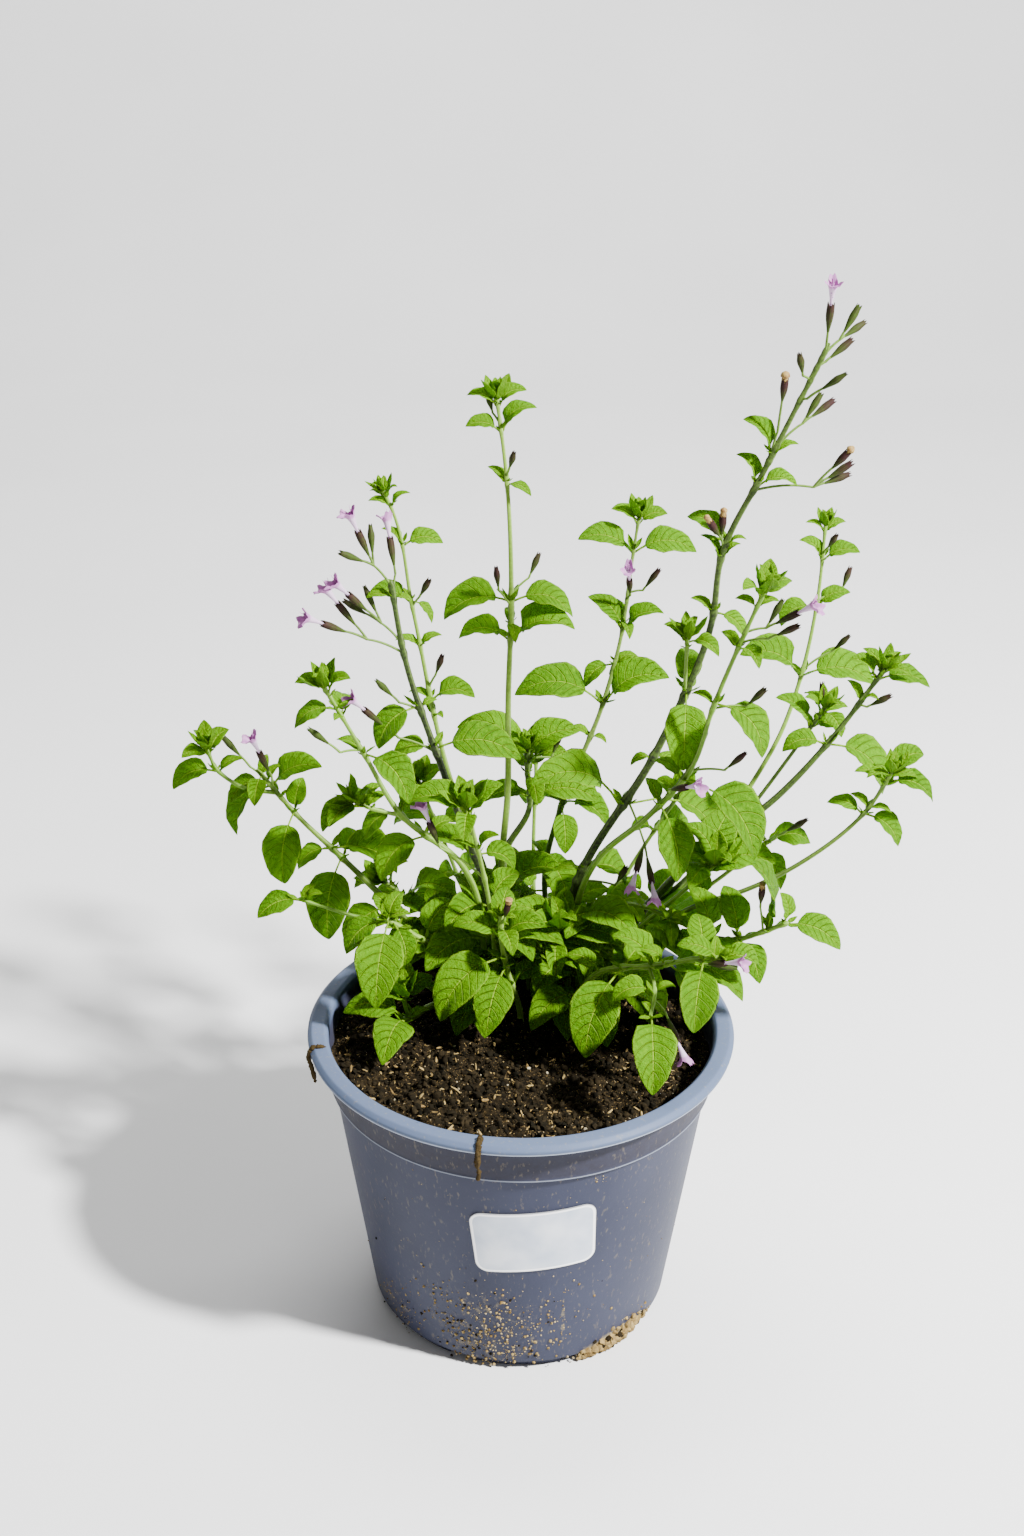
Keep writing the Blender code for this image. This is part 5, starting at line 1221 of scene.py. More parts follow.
def label_shell():
    """A sheet with round corners bent to the wall: each column is a loop down its face and up its back."""
    half_wide, half_high = 0.5 * LABEL_WIDTH, 0.5 * LABEL_HEIGHT
    across = half_wide * np.sin(0.5 * np.pi * np.linspace(-1, 1, LABEL_COLUMNS))[:, None]
    over = np.maximum(np.abs(across) - half_wide + LABEL_CORNER, 0.0)
    high = half_high - LABEL_CORNER + np.sqrt(np.maximum(LABEL_CORNER**2 - over**2, 0.0))
    down = np.cos(np.linspace(0, np.pi, LABEL_ROWS))
    up = high * np.concatenate([down, down[::-1]])
    off = np.repeat([SEAT + LABEL_THICK, LABEL_BACK], LABEL_ROWS)
    rings = on_wall(np.broadcast_to(across, up.shape), up, off)[None]
    square = np.minimum(half_wide - np.abs(across), high - np.abs(up))
    corner = LABEL_CORNER - np.hypot(over, np.maximum(np.abs(up) - half_high + LABEL_CORNER, 0.0))
    inset = np.where(over > 0, np.minimum(square, corner), square)
    return closed_shells(rings, marks_for(rings, 0.0, 0.0, inset))


# Litter: crumbs, chips, grains and threads

GOLD = (1 + math.sqrt(5)) / 2
LUMP_CORNERS = unit(np.array([
    (s, t * GOLD, 0.0)[k:] + (s, t * GOLD, 0.0)[:k] for k in range(3) for s in (-1, 1) for t in (-1, 1)
]))
ROUGH = (0.72, 1.22)  # how far a lump's corners are pushed in or out
THREAD_SIDES, THREAD_HALF = 7, (0.4, 1.05)
THREAD_TONE = (0.33, 0.1)


def lump_faces(corners):
    """The triangles of the icosahedron on its corners: every three that lie an edge apart, outward."""
    gaps = np.linalg.norm(corners[:, None] - corners[None], axis=2)
    edge = gaps[gaps > 0.1].min() * 1.01
    near = (gaps < edge) & (gaps > 0.1)
    i, j, k = np.meshgrid(*[np.arange(len(corners))] * 3, indexing="ij")
    found = (i < j) & (j < k) & near[i, j] & near[j, k] & near[i, k]
    faces = np.stack([i[found], j[found], k[found]], axis=-1)
    a, b, c = (corners[faces[:, n]] for n in range(3))
    turned = np.sum(np.cross(b - a, c - a) * a, axis=1) < 0
    faces[turned] = faces[turned][:, ::-1]
    return faces


def random_turns(rng, count):
    """Turns spread evenly over all directions, as matrices made from unit quaternions."""
    w, x, y, z = unit(rng.normal(size=(count, 4))).T
    rows = [
        [1 - 2 * (y * y + z * z), 2 * (x * y - z * w), 2 * (x * z + y * w)],
        [2 * (x * y + z * w), 1 - 2 * (x * x + z * z), 2 * (y * z - x * w)],
        [2 * (x * z - y * w), 2 * (y * z + x * w), 1 - 2 * (x * x + y * y)],
    ]
    return np.moveaxis(np.array(rows), -1, 0)


def lump_shell(places, sizes, tones, rng):
    """Rough lumps: an icosahedron for each place, stretched by its sizes, its corners pushed in or out."""
    count = len(places)
    turns = random_turns(rng, count)
    local = LUMP_CORNERS[None] * rng.uniform(*ROUGH, (count, len(LUMP_CORNERS), 1)) * sizes[:, None]
    points = np.einsum("nij,nkj->nki", turns, local) + places[:, None]
    faces = lump_faces(LUMP_CORNERS)[None] + (np.arange(count) * len(LUMP_CORNERS))[:, None, None]
    marks = marks_for(points, tones[:, None], 0.0, 0.0, rng.uniform(0, 1, count)[:, None])
    return Shell(points.reshape(-1, 3), [faces.reshape(-1, 3)], marks.reshape(-1, 6), 0)


def thread_shell(points, rng):
    """A brown root thread: a tube along a smooth line, with knots and a little wander."""
    line = smooth_route(points, 8)
    line = line + np.cumsum(rng.normal(0, 0.05, line.shape), axis=0) * 0.6
    halves = rng.uniform(*THREAD_HALF, len(line))
    halves[-1] = 0.15
    return tube(line, halves, THREAD_SIDES, along=THREAD_TONE[0], tone=THREAD_TONE[1])


# Materials

# Patterns: the real width in mm of one spot of each, which a noise's scale is worked out from
LEAF_PUFF = 1.8  # swelling between two veins, painted lighter as a highlight, with random paler patches of this size
LEAF_CRINKLE = 1.25  # dents of the net between the veins
LEAF_DOWN = 0.38  # fine hairs stand 0.1 mm apart, too close to show, so they are drawn coarser
STEM_STREAK = 1.1  # streaks between the ribs are 0.3 mm wide and are drawn coarser to show
CALYX_STAIN = 1.4  # purplish stain on a 2 mm wide calyx
RUST_PATCH = 1.1  # rust on a withered petal
PETAL_CLOUD = 2.0  # deeper lilac across a petal lobe
PETAL_SPOT = 0.67  # purple spots on the lower lip
MOULD_CLOUD = 45.0  # slow change of tone in moulded plastic
SOIL_DUST = 3.8  # splashes of dried soil
SCUFF = 1.4  # scuffs are 0.2 mm wide and are drawn coarser to show
PEAT_LUMP = 2.4  # lumps in the mix
PEAT_FIBRE = 0.9  # fibres are 0.3 mm thick and are drawn coarser to show
GRIT_SPECK = 0.9  # pale specks
CRUMB_CLOUD = 1.25  # painted shade in the hollows of a loose crumb
FILM_CLOUD = 17.0  # faint unevenness of the label's film
PAPER_CLOUD = 330.0  # faint waves in a sheet of studio paper

# Leaf markings: veins from foot to tip, how they curve and sweep forward, their width as a share of
# the gap between two, and the midrib's half width in mm
VEINS = 14.0
VEIN_CURVE = 1.25
VEIN_SWEEP = 0.24
VEIN_WIDTH = 0.2
MIDRIB_WIDTH = 0.34

# Heights on the pot in mm, from where to where: the rim's face, paler from wear and a painted sheen, the
# two sides of the painted highlight line on its lower edge, and the two fading ends of the soil film
# with the rim's painted shadow on it
RIM_WEAR_AND_SHEEN = (119.5, 122.8)
RIM_HIGHLIGHT_FOOT = (120.8, 121.3)
RIM_HIGHLIGHT_HEAD = (121.6, 122.2)
FILM_AND_SHADOW_FOOT = (103.5, 106.0)
FILM_AND_SHADOW_HEAD = (112.0, 123.5)
# Radii between which the painted highlight line on the rim's lower edge begins, in mm
RIM_HIGHLIGHT_REACH = (83.4, 84.2)
# A painted shadow line and a painted highlight line along the collar's foot: heights in mm, strength and
# colour
COLLAR_SHADOW_AND_HIGHLIGHT = ((102.6, 103.6, 0.8, "pot_grime"), (103.7, 104.7, 0.3, "pot_edge"))

# Kinds of shader node: type, choices, the output used, and the inputs in the order that add takes them
Kind = namedtuple("Kind", "type choices out order", defaults=({}, 0, range(5)))

KINDS = {
    "times": Kind("Math", {"operation": "MULTIPLY"}),
    "plus": Kind("Math", {"operation": "ADD"}),
    "plus, kept in 0 to 1": Kind("Math", {"operation": "ADD", "use_clamp": True}),
    "times and plus": Kind("Math", {"operation": "MULTIPLY_ADD"}),
    "over": Kind("Math", {"operation": "DIVIDE"}),
    "power": Kind("Math", {"operation": "POWER"}),
    "size": Kind("Math", {"operation": "ABSOLUTE"}),
    "larger": Kind("Math", {"operation": "MAXIMUM"}),
    "is below": Kind("Math", {"operation": "LESS_THAN"}),
    "zigzag": Kind("Math", {"operation": "PINGPONG"}),
    "cosine": Kind("Math", {"operation": "COSINE"}),
    "ramp": Kind("MapRange"),
    "soft ramp": Kind("MapRange", {"interpolation_type": "SMOOTHSTEP"}),
    "noise": Kind("TexNoise"),
    "coordinates": Kind("TexCoord", {}, "Object"),
    "stretch": Kind("Mapping"),
    "place": Kind("Attribute", {"attribute_name": "place"}, "Vector"),
    "kind": Kind("Attribute", {"attribute_name": "kind"}, "Vector"),
    "parts": Kind("SeparateXYZ"),
    "joined": Kind("CombineXYZ"),
    "length": Kind("VectorMath", {"operation": "LENGTH"}, "Value"),
    "colour mix": Kind("Mix", {"data_type": "RGBA"}, 2, (0, 6, 7)),
    "bump": Kind("Bump"),
    "skin": Kind("BsdfPrincipled"),
    "light through": Kind("BsdfTranslucent"),
    "shader mix": Kind("MixShader"),
}


def add(tree, kind, *values, **named):
    """A shader node of one of the kinds; its inputs, sockets or plain values, come in order or by name."""
    made = KINDS[kind]
    node = tree.nodes.new("ShaderNode" + made.type)
    for choice, value in made.choices.items():
        setattr(node, choice, value)
    for key, value in [*zip(made.order, values), *named.items()]:
        if isinstance(value, bpy.types.NodeSocket):
            tree.links.new(value, node.inputs[key])
        else:
            node.inputs[key].default_value = value
    return node.outputs[made.out]


def parts_of(tree, vector):
    """The three parts of a vector, or of one of the piece's mark attributes."""
    split = add(tree, "parts", vector).node
    return [split.outputs[k] for k in range(3)]


def painted(tree, shade, *layers):
    """A colour with others painted over it in turn, each as strongly as its factor says."""
    for factor, colour in [(None, shade), *layers]:
        colour = linear(colour) if isinstance(colour, str) else colour
        shade = colour if factor is None else add(tree, "colour mix", factor, shade, colour)
    return shade


def begin(name):
    """A new material, its node tree and the piece's own coordinates."""
    material = bpy.data.materials.new(name)
    material.use_nodes = True
    tree = material.node_tree
    tree.nodes.clear()
    return material, tree, add(tree, "coordinates")


def finish(tree, shade, rough, ior, gloss=0.5, bump=None, through=0.0, glow=None):
    """Joins up a dielectric skin; a share of the light goes through it where the real thing is thin."""
    relief = {"Normal": bump} if bump else {}
    skin = {"Base Color": shade, "Roughness": rough, "IOR": ior, "Specular IOR Level": gloss}
    shader = add(tree, "skin", **skin, **relief)
    if through:
        light = add(tree, "light through", Color=glow or shade, **relief)
        shader = add(tree, "shader mix", through, shader, light)
    tree.links.new(shader, tree.nodes.new("ShaderNodeOutputMaterial").inputs["Surface"])


def leaf_material(colours):
    """Living blade: light comes through it, veins arch forward to the margin and show as pale lines,
    and the swellings between the veins are painted lighter as a highlight.
    """
    material, tree, place = begin("Calamint leaf, living blade with arched veins")
    along, across, under = parts_of(tree, add(tree, "place"))
    tone, young, half = parts_of(tree, add(tree, "kind"))
    off = add(tree, "size", across)
    patches = add(tree, "noise", place, Scale=1 / (LEAF_PUFF * MM), Detail=5.0, Roughness=0.65)
    down = add(tree, "noise", place, Scale=1 / (LEAF_DOWN * MM), Detail=2.0)
    crinkle = add(tree, "noise", place, Scale=1 / (LEAF_CRINKLE * MM), Detail=3.0)
    swept = add(tree, "times and plus", add(tree, "power", off, VEIN_CURVE), -VEIN_SWEEP, along)
    wave = add(tree, "zigzag", add(tree, "times", swept, VEINS), 1.0)
    vein = add(tree, "soft ramp", wave, 0.0, VEIN_WIDTH, 1.0, 0.0)
    vein = add(tree, "times", vein, add(tree, "ramp", off, 0.5, 0.95, 1.0, 0.15))
    rib = add(tree, "over", off, add(tree, "over", MIDRIB_WIDTH, half))
    rib = add(tree, "soft ramp", rib, 0.5, 1.2, 1.0, 0.0)
    rib = add(tree, "larger", rib, add(tree, "is below", along, 0.0))
    margin = add(tree, "soft ramp", off, 0.86, 1.0, 0.0, 1.0)
    # painted highlight on the swellings between the veins, mixed with random paler patches
    puffed_highlight = add(tree, "times and plus", wave, 0.12, patches)
    shade = painted(
        tree, colours.leaf_deep,
        (tone, colours.leaf),
        (add(tree, "ramp", puffed_highlight, 0.38, 0.8, 0.0, 0.55), colours.leaf_bright),
        (add(tree, "times", young, 0.55), colours.leaf_bright),
        (add(tree, "times", margin, 0.6), colours.leaf_vein),
        (
            add(tree, "larger", add(tree, "times", vein, 0.74), add(tree, "times", rib, 0.92)),
            colours.leaf_vein,
        ),
        (add(tree, "times", under, 0.5), colours.leaf_under),
    )
    height = add(tree, "times and plus", crinkle, 1.6, down)
    height = add(tree, "times and plus", vein, -2.6, height)
    height = add(tree, "times and plus", rib, -2.2, height)
    bump = add(tree, "bump", Height=height, Strength=1.0, Distance=0.6 * MM)
    finish(tree, shade, 0.5, 1.42, 0.12, bump, 0.45, painted(tree, shade, (0.55, colours.leaf_glow)))
    return material


def stem_material(colours):
    """Square green stem, purplish with age: pale corners and dark flanks give thin stripes along it;
    the pale corners are partly paler ribs and partly a painted highlight.
    """
    material, tree, place = begin("Calamint stem, ribbed and turning purplish with age")
    around = parts_of(tree, add(tree, "place"))[1]
    tone, age = parts_of(tree, add(tree, "kind"))[:2]
    streak = add(tree, "noise", place, Scale=1 / (STEM_STREAK * MM), Detail=3.0)
    # pale corners: partly paler ribs, partly a painted highlight along each edge
    corner = add(tree, "cosine", add(tree, "times", around, 4 * math.tau))
    ridge = add(tree, "soft ramp", corner, -0.9, -0.2, 1.0, 0.0)
    old = add(tree, "plus, kept in 0 to 1", age, add(tree, "times and plus", streak, 0.7, -0.35))
    pale = add(tree, "times", ridge, add(tree, "ramp", old, 0.2, 0.8, 0.45, 0.16))
    shade = painted(
        tree,
        colours.stem_young,
        (tone, colours.stem_fresh),
        (old, colours.stem_old),
        (pale, colours.stem_ridge),
    )
    bump = add(tree, "bump", Height=streak, Strength=0.4, Distance=0.2 * MM)
    finish(tree, shade, 0.5, 1.42, 0.15, bump)
    return material


def calyx_material(colours):
    """Ribbed calyx: green at its foot, purplish brown along its ribs and towards its teeth."""
    material, tree, place = begin("Calamint calyx, ribbed with purplish teeth")
    along, around = parts_of(tree, add(tree, "place"))[:2]
    ripe = parts_of(tree, add(tree, "kind"))[1]
    cloud = add(tree, "noise", place, Scale=1 / (CALYX_STAIN * MM), Detail=3.0)
    rib = add(tree, "cosine", add(tree, "times", around, 10 * math.tau))
    ribbed = add(tree, "ramp", rib, -0.2, 0.9, 0.0, 0.35)
    stain = add(tree, "times and plus", add(tree, "times", along, ripe), 1.1, ribbed)
    stain = add(tree, "times and plus", cloud, 0.8, stain)
    stained = add(tree, "ramp", stain, 0.45, 1.25, 0.0, 1.0)
    shade = painted(tree, colours.calyx, (stained, colours.calyx_teeth))
    finish(tree, shade, 0.6, 1.42, 0.12, through=0.15)
    return material


def withered_material(colours):
    """Petals dried in their calyx: tan with rusty patches."""
    material, tree, place = begin("Withered petals, dried to tan")
    cloud = add(tree, "noise", place, Scale=1 / (RUST_PATCH * MM), Detail=4.0)
    rusty = add(tree, "ramp", cloud, 0.35, 0.65, 0.0, 1.0)
    shade = painted(tree, colours.withered, (rusty, colours.withered_rust))
    finish(tree, shade, 0.75, 1.45)
    return material


def petal_material(colours):
    """Thin lilac petals: pale throat, a few purple spots on the lower lip and light coming through."""
    material, tree, place = begin("Calamint petal, thin and lilac")
    along, around = parts_of(tree, add(tree, "place"))[:2]
    cloud = add(tree, "noise", place, Scale=1 / (PETAL_CLOUD * MM), Detail=2.0)
    spots = add(tree, "noise", place, Scale=1 / (PETAL_SPOT * MM), Detail=1.0)
    dots = add(tree, "ramp", spots, 0.6, 0.66, 0.0, 0.75)
    dots = add(tree, "times", dots, add(tree, "ramp", add(tree, "size", around), 0.1, 0.3, 1.0, 0.0))
    dots = add(tree, "times", dots, add(tree, "ramp", along, 0.55, 0.85, 1.0, 0.0))
    shade = painted(
        tree, colours.petal,
        (add(tree, "ramp", cloud, 0.3, 0.7, 0.0, 1.0), colours.petal_deep),
        (add(tree, "soft ramp", along, 0.45, 0.62, 0.75, 0.0), colours.petal_throat),
        (dots, colours.petal_spot),
    )
    finish(tree, shade, 0.55, 1.36, through=0.35)
    return material


def dust_patches(tree, x, y, z):
    """Soft oval patches on the front of the wall: 1 minus the squared distance from each one's middle."""
    dusty = 0.0
    for across, up, wide, tall, strength in DUST_PATCHES:
        square = 0.0
        for way, middle, reach in ((x, across, wide), (z, up, tall)):
            off = add(tree, "times", add(tree, "plus", way, -middle * MM), 1 / (reach * MM))
            square = add(tree, "times and plus", off, off, square)
        dusty = add(tree, "larger", dusty, add(tree, "soft ramp", square, 0.0, 1.6, strength, 0.0))
    return add(tree, "times", dusty, add(tree, "is below", y, 0.0))


def pot_material(colours):
    """Moulded blue-grey polypropylene: an even satin skin with faint scuffs and patches of dried soil,
    a rim paler from wear and a painted sheen, painted highlight lines on the rim's lower edge and on
    the collar, a painted shadow line at the collar's step, and a soil film under the rim darkened as
    the rim's painted shadow.
    """
    material, tree, place = begin("Polypropylene pot, injection moulded with a satin skin")
    x, y, z = parts_of(tree, place)
    cloud = add(tree, "noise", place, Scale=1 / (MOULD_CLOUD * MM), Detail=3.0)
    dust = add(tree, "noise", place, Scale=1 / (SOIL_DUST * MM), Detail=6.0, Roughness=0.7)
    upright = add(tree, "stretch", place, Scale=(1.0, 1.0, 0.4))
    scuff = add(tree, "noise", upright, Scale=1 / (SCUFF * MM), Detail=3.0)

    def rising(way, limits, low, high, kind="ramp"):
        return add(tree, kind, way, limits[0] * MM, limits[1] * MM, low, high)

    # a painted highlight line along the rim's lower edge, on its outer side
    outer = rising(add(tree, "length", add(tree, "joined", x, y)), RIM_HIGHLIGHT_REACH, 0.0, 0.6)
    edge = add(tree, "times", rising(z, RIM_HIGHLIGHT_FOOT, 0.0, 1.0), rising(z, RIM_HIGHLIGHT_HEAD, 1.0, 0.0))
    # a painted shadow line and a painted highlight line along the collar's step
    lines = []
    for low, high, strength, tone in COLLAR_SHADOW_AND_HIGHLIGHT:
        off = add(tree, "size", add(tree, "plus", z, -0.5 * (low + high) * MM))
        wide = (high - low) * MM
        lines.append((add(tree, "ramp", off, 0.2 * wide, 0.5 * wide, strength, 0.0), getattr(colours, tone)))
    # the band under the rim: a soil film, darkened further as the rim's painted shadow
    risen = rising(z, FILM_AND_SHADOW_FOOT, 0.0, 1.0, "soft ramp")
    film = add(tree, "times", risen, rising(z, FILM_AND_SHADOW_HEAD, 1.0, 0.0, "soft ramp"))
    level = add(tree, "times and plus", dust, 1.5, dust_patches(tree, x, y, z))
    dusty = add(tree, "soft ramp", level, 1.0, 1.45, 0.0, 0.8)
    shade = painted(
        tree, colours.pot,
        (add(tree, "ramp", cloud, 0.3, 0.7, 0.0, 1.0), colours.pot_light),
        # the rim's face, paler from wear and from a painted sheen
        (rising(z, RIM_WEAR_AND_SHEEN, 0.0, 0.75, "soft ramp"), colours.pot_rim),
        (add(tree, "times", edge, outer), colours.pot_edge),
        *lines,
        (add(tree, "times", add(tree, "ramp", dust, 0.2, 0.75, 0.2, 0.65), film), colours.pot_grime),
        (add(tree, "ramp", scuff, 0.6, 0.74, 0.0, 0.22), colours.dust),
        (dusty, colours.dust),
    )
    bump = add(tree, "bump", Height=dust, Strength=0.25, Distance=0.3 * MM)
    finish(tree, shade, add(tree, "ramp", dusty, 0.0, 0.8, 0.5, 0.85), 1.49, 0.12, bump)
    return material


def soil_material(colours):
    """Peaty potting mix: dark crumbs with rusty fibres and a few pale specks."""
    material, tree, place = begin("Potting mix, peat with fibres and pale specks")
    cloud = add(tree, "noise", place, Scale=1 / (PEAT_LUMP * MM), Detail=6.0, Roughness=0.75)
    fibre = add(tree, "noise", place, Scale=1 / (PEAT_FIBRE * MM), Detail=4.0, Roughness=0.7)
    speck = add(tree, "noise", place, Scale=1 / (GRIT_SPECK * MM), Detail=1.0)
    shade = painted(
        tree, colours.soil,
        (add(tree, "ramp", cloud, 0.4, 0.62, 0.0, 1.0), colours.soil_light),
        (add(tree, "ramp", fibre, 0.58, 0.66, 0.0, 0.85), colours.soil_rust),
        (add(tree, "ramp", speck, 0.71, 0.76, 0.0, 0.8), colours.grit),
    )
    bump = add(tree, "bump", Height=fibre, Strength=1.0, Distance=1.6 * MM)
    finish(tree, shade, 0.95, 1.4, 0.1, bump)
    return material


def litter_material(colours):
    """Loose bits: each lump has its own tone between peat brown, tan wood and pale grit, with
    painted shade in dark mottled hollows.
    """
    material, tree, place = begin("Loose potting mix: crumbs, wood bits and grit")
    sort = parts_of(tree, add(tree, "place"))[0]
    own = parts_of(tree, add(tree, "kind"))[0]
    cloud = add(tree, "noise", place, Scale=1 / (CRUMB_CLOUD * MM), Detail=4.0)
    wood = painted(tree, colours.soil_rust, (own, colours.wood))
    shade = painted(
        tree, colours.soil,
        (own, colours.soil_light),
        (add(tree, "ramp", sort, 0.3, 0.45, 0.0, 1.0), wood),
        (add(tree, "ramp", sort, 0.7, 0.8, 0.0, 1.0), colours.grit),
        # painted shade: random dark hollows on each crumb
        (add(tree, "ramp", cloud, 0.35, 0.65, 0.45, 0.0), colours.soil),
    )
    bump = add(tree, "bump", Height=cloud, Strength=0.7, Distance=0.5 * MM)
    finish(tree, shade, 0.9, 1.4, 0.1, bump)
    return material


def label_material(colours):
    """Bare label film: off-white satin face inside a brighter border with a thin dark outline."""
    material, tree, place = begin("Label, white polypropylene film left blank")
    inset = parts_of(tree, add(tree, "place"))[2]
    cloud = add(tree, "noise", place, Scale=1 / (FILM_CLOUD * MM), Detail=3.0)
    shade = painted(
        tree, colours.label,
        (add(tree, "ramp", cloud, 0.3, 0.7, 0.0, 0.5), colours.label_border),
        (add(tree, "soft ramp", inset, 1.0, 1.25, 1.0, 0.0), colours.label_border),
        # a thin dark outline round the label
        (add(tree, "soft ramp", inset, 0.0, 0.35, 0.75, 0.0), colours.label_edge),
    )
    finish(tree, shade, 0.4, 1.49)
    return material


def floor_material(colours):
    """Matte white studio paper with the faintest mottling."""
    material, tree, place = begin("Studio paper, matte white")
    cloud = add(tree, "noise", place, Scale=1 / (PAPER_CLOUD * MM), Detail=2.0)
    shade = painted(tree, colours.paper, (add(tree, "ramp", cloud, 0.3, 0.7, 0.0, 1.0), colours.paper_shade))
    finish(tree, shade, 0.9, 1.45)
    return material


# Add-on: settings, steps and panel

# Base colour of each material in sRGB, and what it is
COLOURS = {
    "leaf": ("#5c9400", "Sunlit blade"),
    "leaf_deep": ("#376a00", "Darkest blades"),
    # Young blades, random patches and the painted highlight on the swellings between veins
    "leaf_bright": ("#82b800", "Young blades and patches"),
    "leaf_vein": ("#a4cc34", "Midrib, veins and margin"),
    "leaf_under": ("#54801c", "Paler underside"),
    "leaf_glow": ("#a2d800", "Light through a blade"),
    "stem_young": ("#55801a", "Green stem"),
    "stem_fresh": ("#769a34", "Palest stem"),
    "stem_old": ("#1f2019", "Purplish old stem"),
    # Pale corners: partly paler ribs, partly a painted highlight
    "stem_ridge": ("#94ad5e", "Pale corners"),
    "calyx": ("#3a5018", "Foot of the calyx"),
    "calyx_teeth": ("#35211f", "Teeth and ribs"),
    "withered": ("#9a8244", "Dried petal"),
    "withered_rust": ("#6e4c22", "Rusty patch"),
    "petal": ("#cd96c6", "Petal face"),
    "petal_deep": ("#b878b6", "Deeper patches"),
    "petal_throat": ("#dfcfe0", "Pale throat"),
    "petal_spot": ("#8a4a96", "Spots on the lip"),
    "pot": ("#2d3040", "Pot plastic"),
    "pot_light": ("#353849", "Paler flow marks"),
    # The rim is paler from wear and a painted sheen; the next colour is a painted highlight on the rim's
    # lower edge and the collar's step; the dark one is a soil film with painted shadow under the rim and the
    # collar's step
    "pot_rim": ("#58667f", "Worn, paler rim"),
    "pot_edge": ("#c2ccdc", "Polished lower edge of the rim"),
    "pot_grime": ("#231d1d", "Dark soil film under the rim"),
    "dust": ("#938769", "Dried soil on the pot"),
    "soil": ("#0b0904", "Damp peat"),
    "soil_light": ("#2b2315", "Drier peat"),
    "soil_rust": ("#7d653c", "Rusty fibres"),
    "wood": ("#a08a5a", "Tan wood bits"),
    "grit": ("#a89c80", "Pale grains"),
    "label": ("#a4b0c2", "Label face"),
    "label_border": ("#fcfcfc", "Bright border"),
    "label_edge": ("#20242e", "Cut edge"),
    "paper": ("#e4e4e4", "Studio floor"),
    "paper_shade": ("#dedede", "Mottling"),
}


class CalamintColours(bpy.types.PropertyGroup):
    """Base colours of the materials, as sRGB hex codes."""

    __annotations__ = {
        key: bpy.props.StringProperty(name=key.replace("_", " ").capitalize(), description=text, default=code)
        for key, (code, text) in COLOURS.items()
    }


class CalamintSizes(bpy.types.PropertyGroup):
    """Amounts and sizes of the loose bits."""

    crumbs: bpy.props.IntProperty(name="Crumbs", description="Loose crumbs on the soil", default=5200, min=0)
    chips: bpy.props.IntProperty(name="Chips", description="Wood bits on the soil", default=1050, min=0)
    grains: bpy.props.IntProperty(name="Grains", description="Pale grains on the soil", default=90, min=0)
    seed: bpy.props.IntProperty(name="Seed", description="Start of the random numbers", default=11)


# Loose bits on the soil: name, the setting for how many, half sizes in mm, shape, and tone from peat at 0
# over wood at about half to pale grit at 1
LITTER = (
    ("soil_crumbs", "crumbs", (0.3, 1.7), (1.0, 1.0, 0.8), 0.0),
    ("wood_bits", "chips", (0.25, 0.9), (2.6, 0.7, 0.55), 0.55),
    ("pale_grains", "grains", (0.35, 0.9), (1.0, 0.9, 0.8), 1.0),
)
LITTER_ROOM = 4.0  # bare ring inside the rim
CRUMB_LEAST = 0.16  # smallest crumb on the wall
PALE_BELOW = 0.6  # largest crumb that may be pale
# Paper sweep in metres: half width, front edge, where and how high it curves up, and its top
PAPER = (6.0, -3.0, 1.5, 1.0, 4.0)


class CALAMINT_OT_leaves(bpy.types.Operator):
    """Fine blades on every shoot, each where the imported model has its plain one"""

    bl_idname = "calamint.leaves"
    bl_label = "Leaves"

    def execute(self, context):
        material = leaf_material(context.scene.calamint_colours)
        for number, name in enumerate(SHOOTS):
            rng = np.random.default_rng(100 + number)
            shells = leaves_of(grown(name)[1], rng)
            piece = make_piece(f"leaves_{name}", shells, [material], 180.0)
            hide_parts(name)
        return {"FINISHED"}


class CALAMINT_OT_stalks(bpy.types.Operator):
    """Stems, flower stalks, ribbed calyces and withered petals of every shoot"""

    bl_idname = "calamint.stalks"
    bl_label = "Stems and calyces"

    def execute(self, context):
        colours = context.scene.calamint_colours
        materials = [stem_material(colours), calyx_material(colours), withered_material(colours)]
        for number, name in enumerate(SHOOTS):
            rng = np.random.default_rng(200 + number)
            limbs, _, stalks, flowers = grown(name)
            shells = [stem_shell(limb, rng.uniform()) for limb in limbs]
            age = limbs[0].age
            for start, fork in stalks:
                shells.append(stalk_shell(start, fork, 0.06, 0.5, 0.5 * age))
            for flower in flowers:
                length = min(CALYX_LENGTH, CALYX_SHARE * np.linalg.norm(flower.step))
                foot = flower.fork + flower.step - unit(flower.step) * (length + 0.2)
                shells.append(stalk_shell(flower.fork, foot, 0.04, 0.6, 0.2 + 0.4 * age))
            if flowers:
                shells.append(calyx_shells(flowers, rng))
                shells += [withered_shell(flower, rng) for flower in flowers if flower.kind == "dry"]
            piece = make_piece(f"stalks_{name}", shells, materials)
            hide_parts(name)
        return {"FINISHED"}


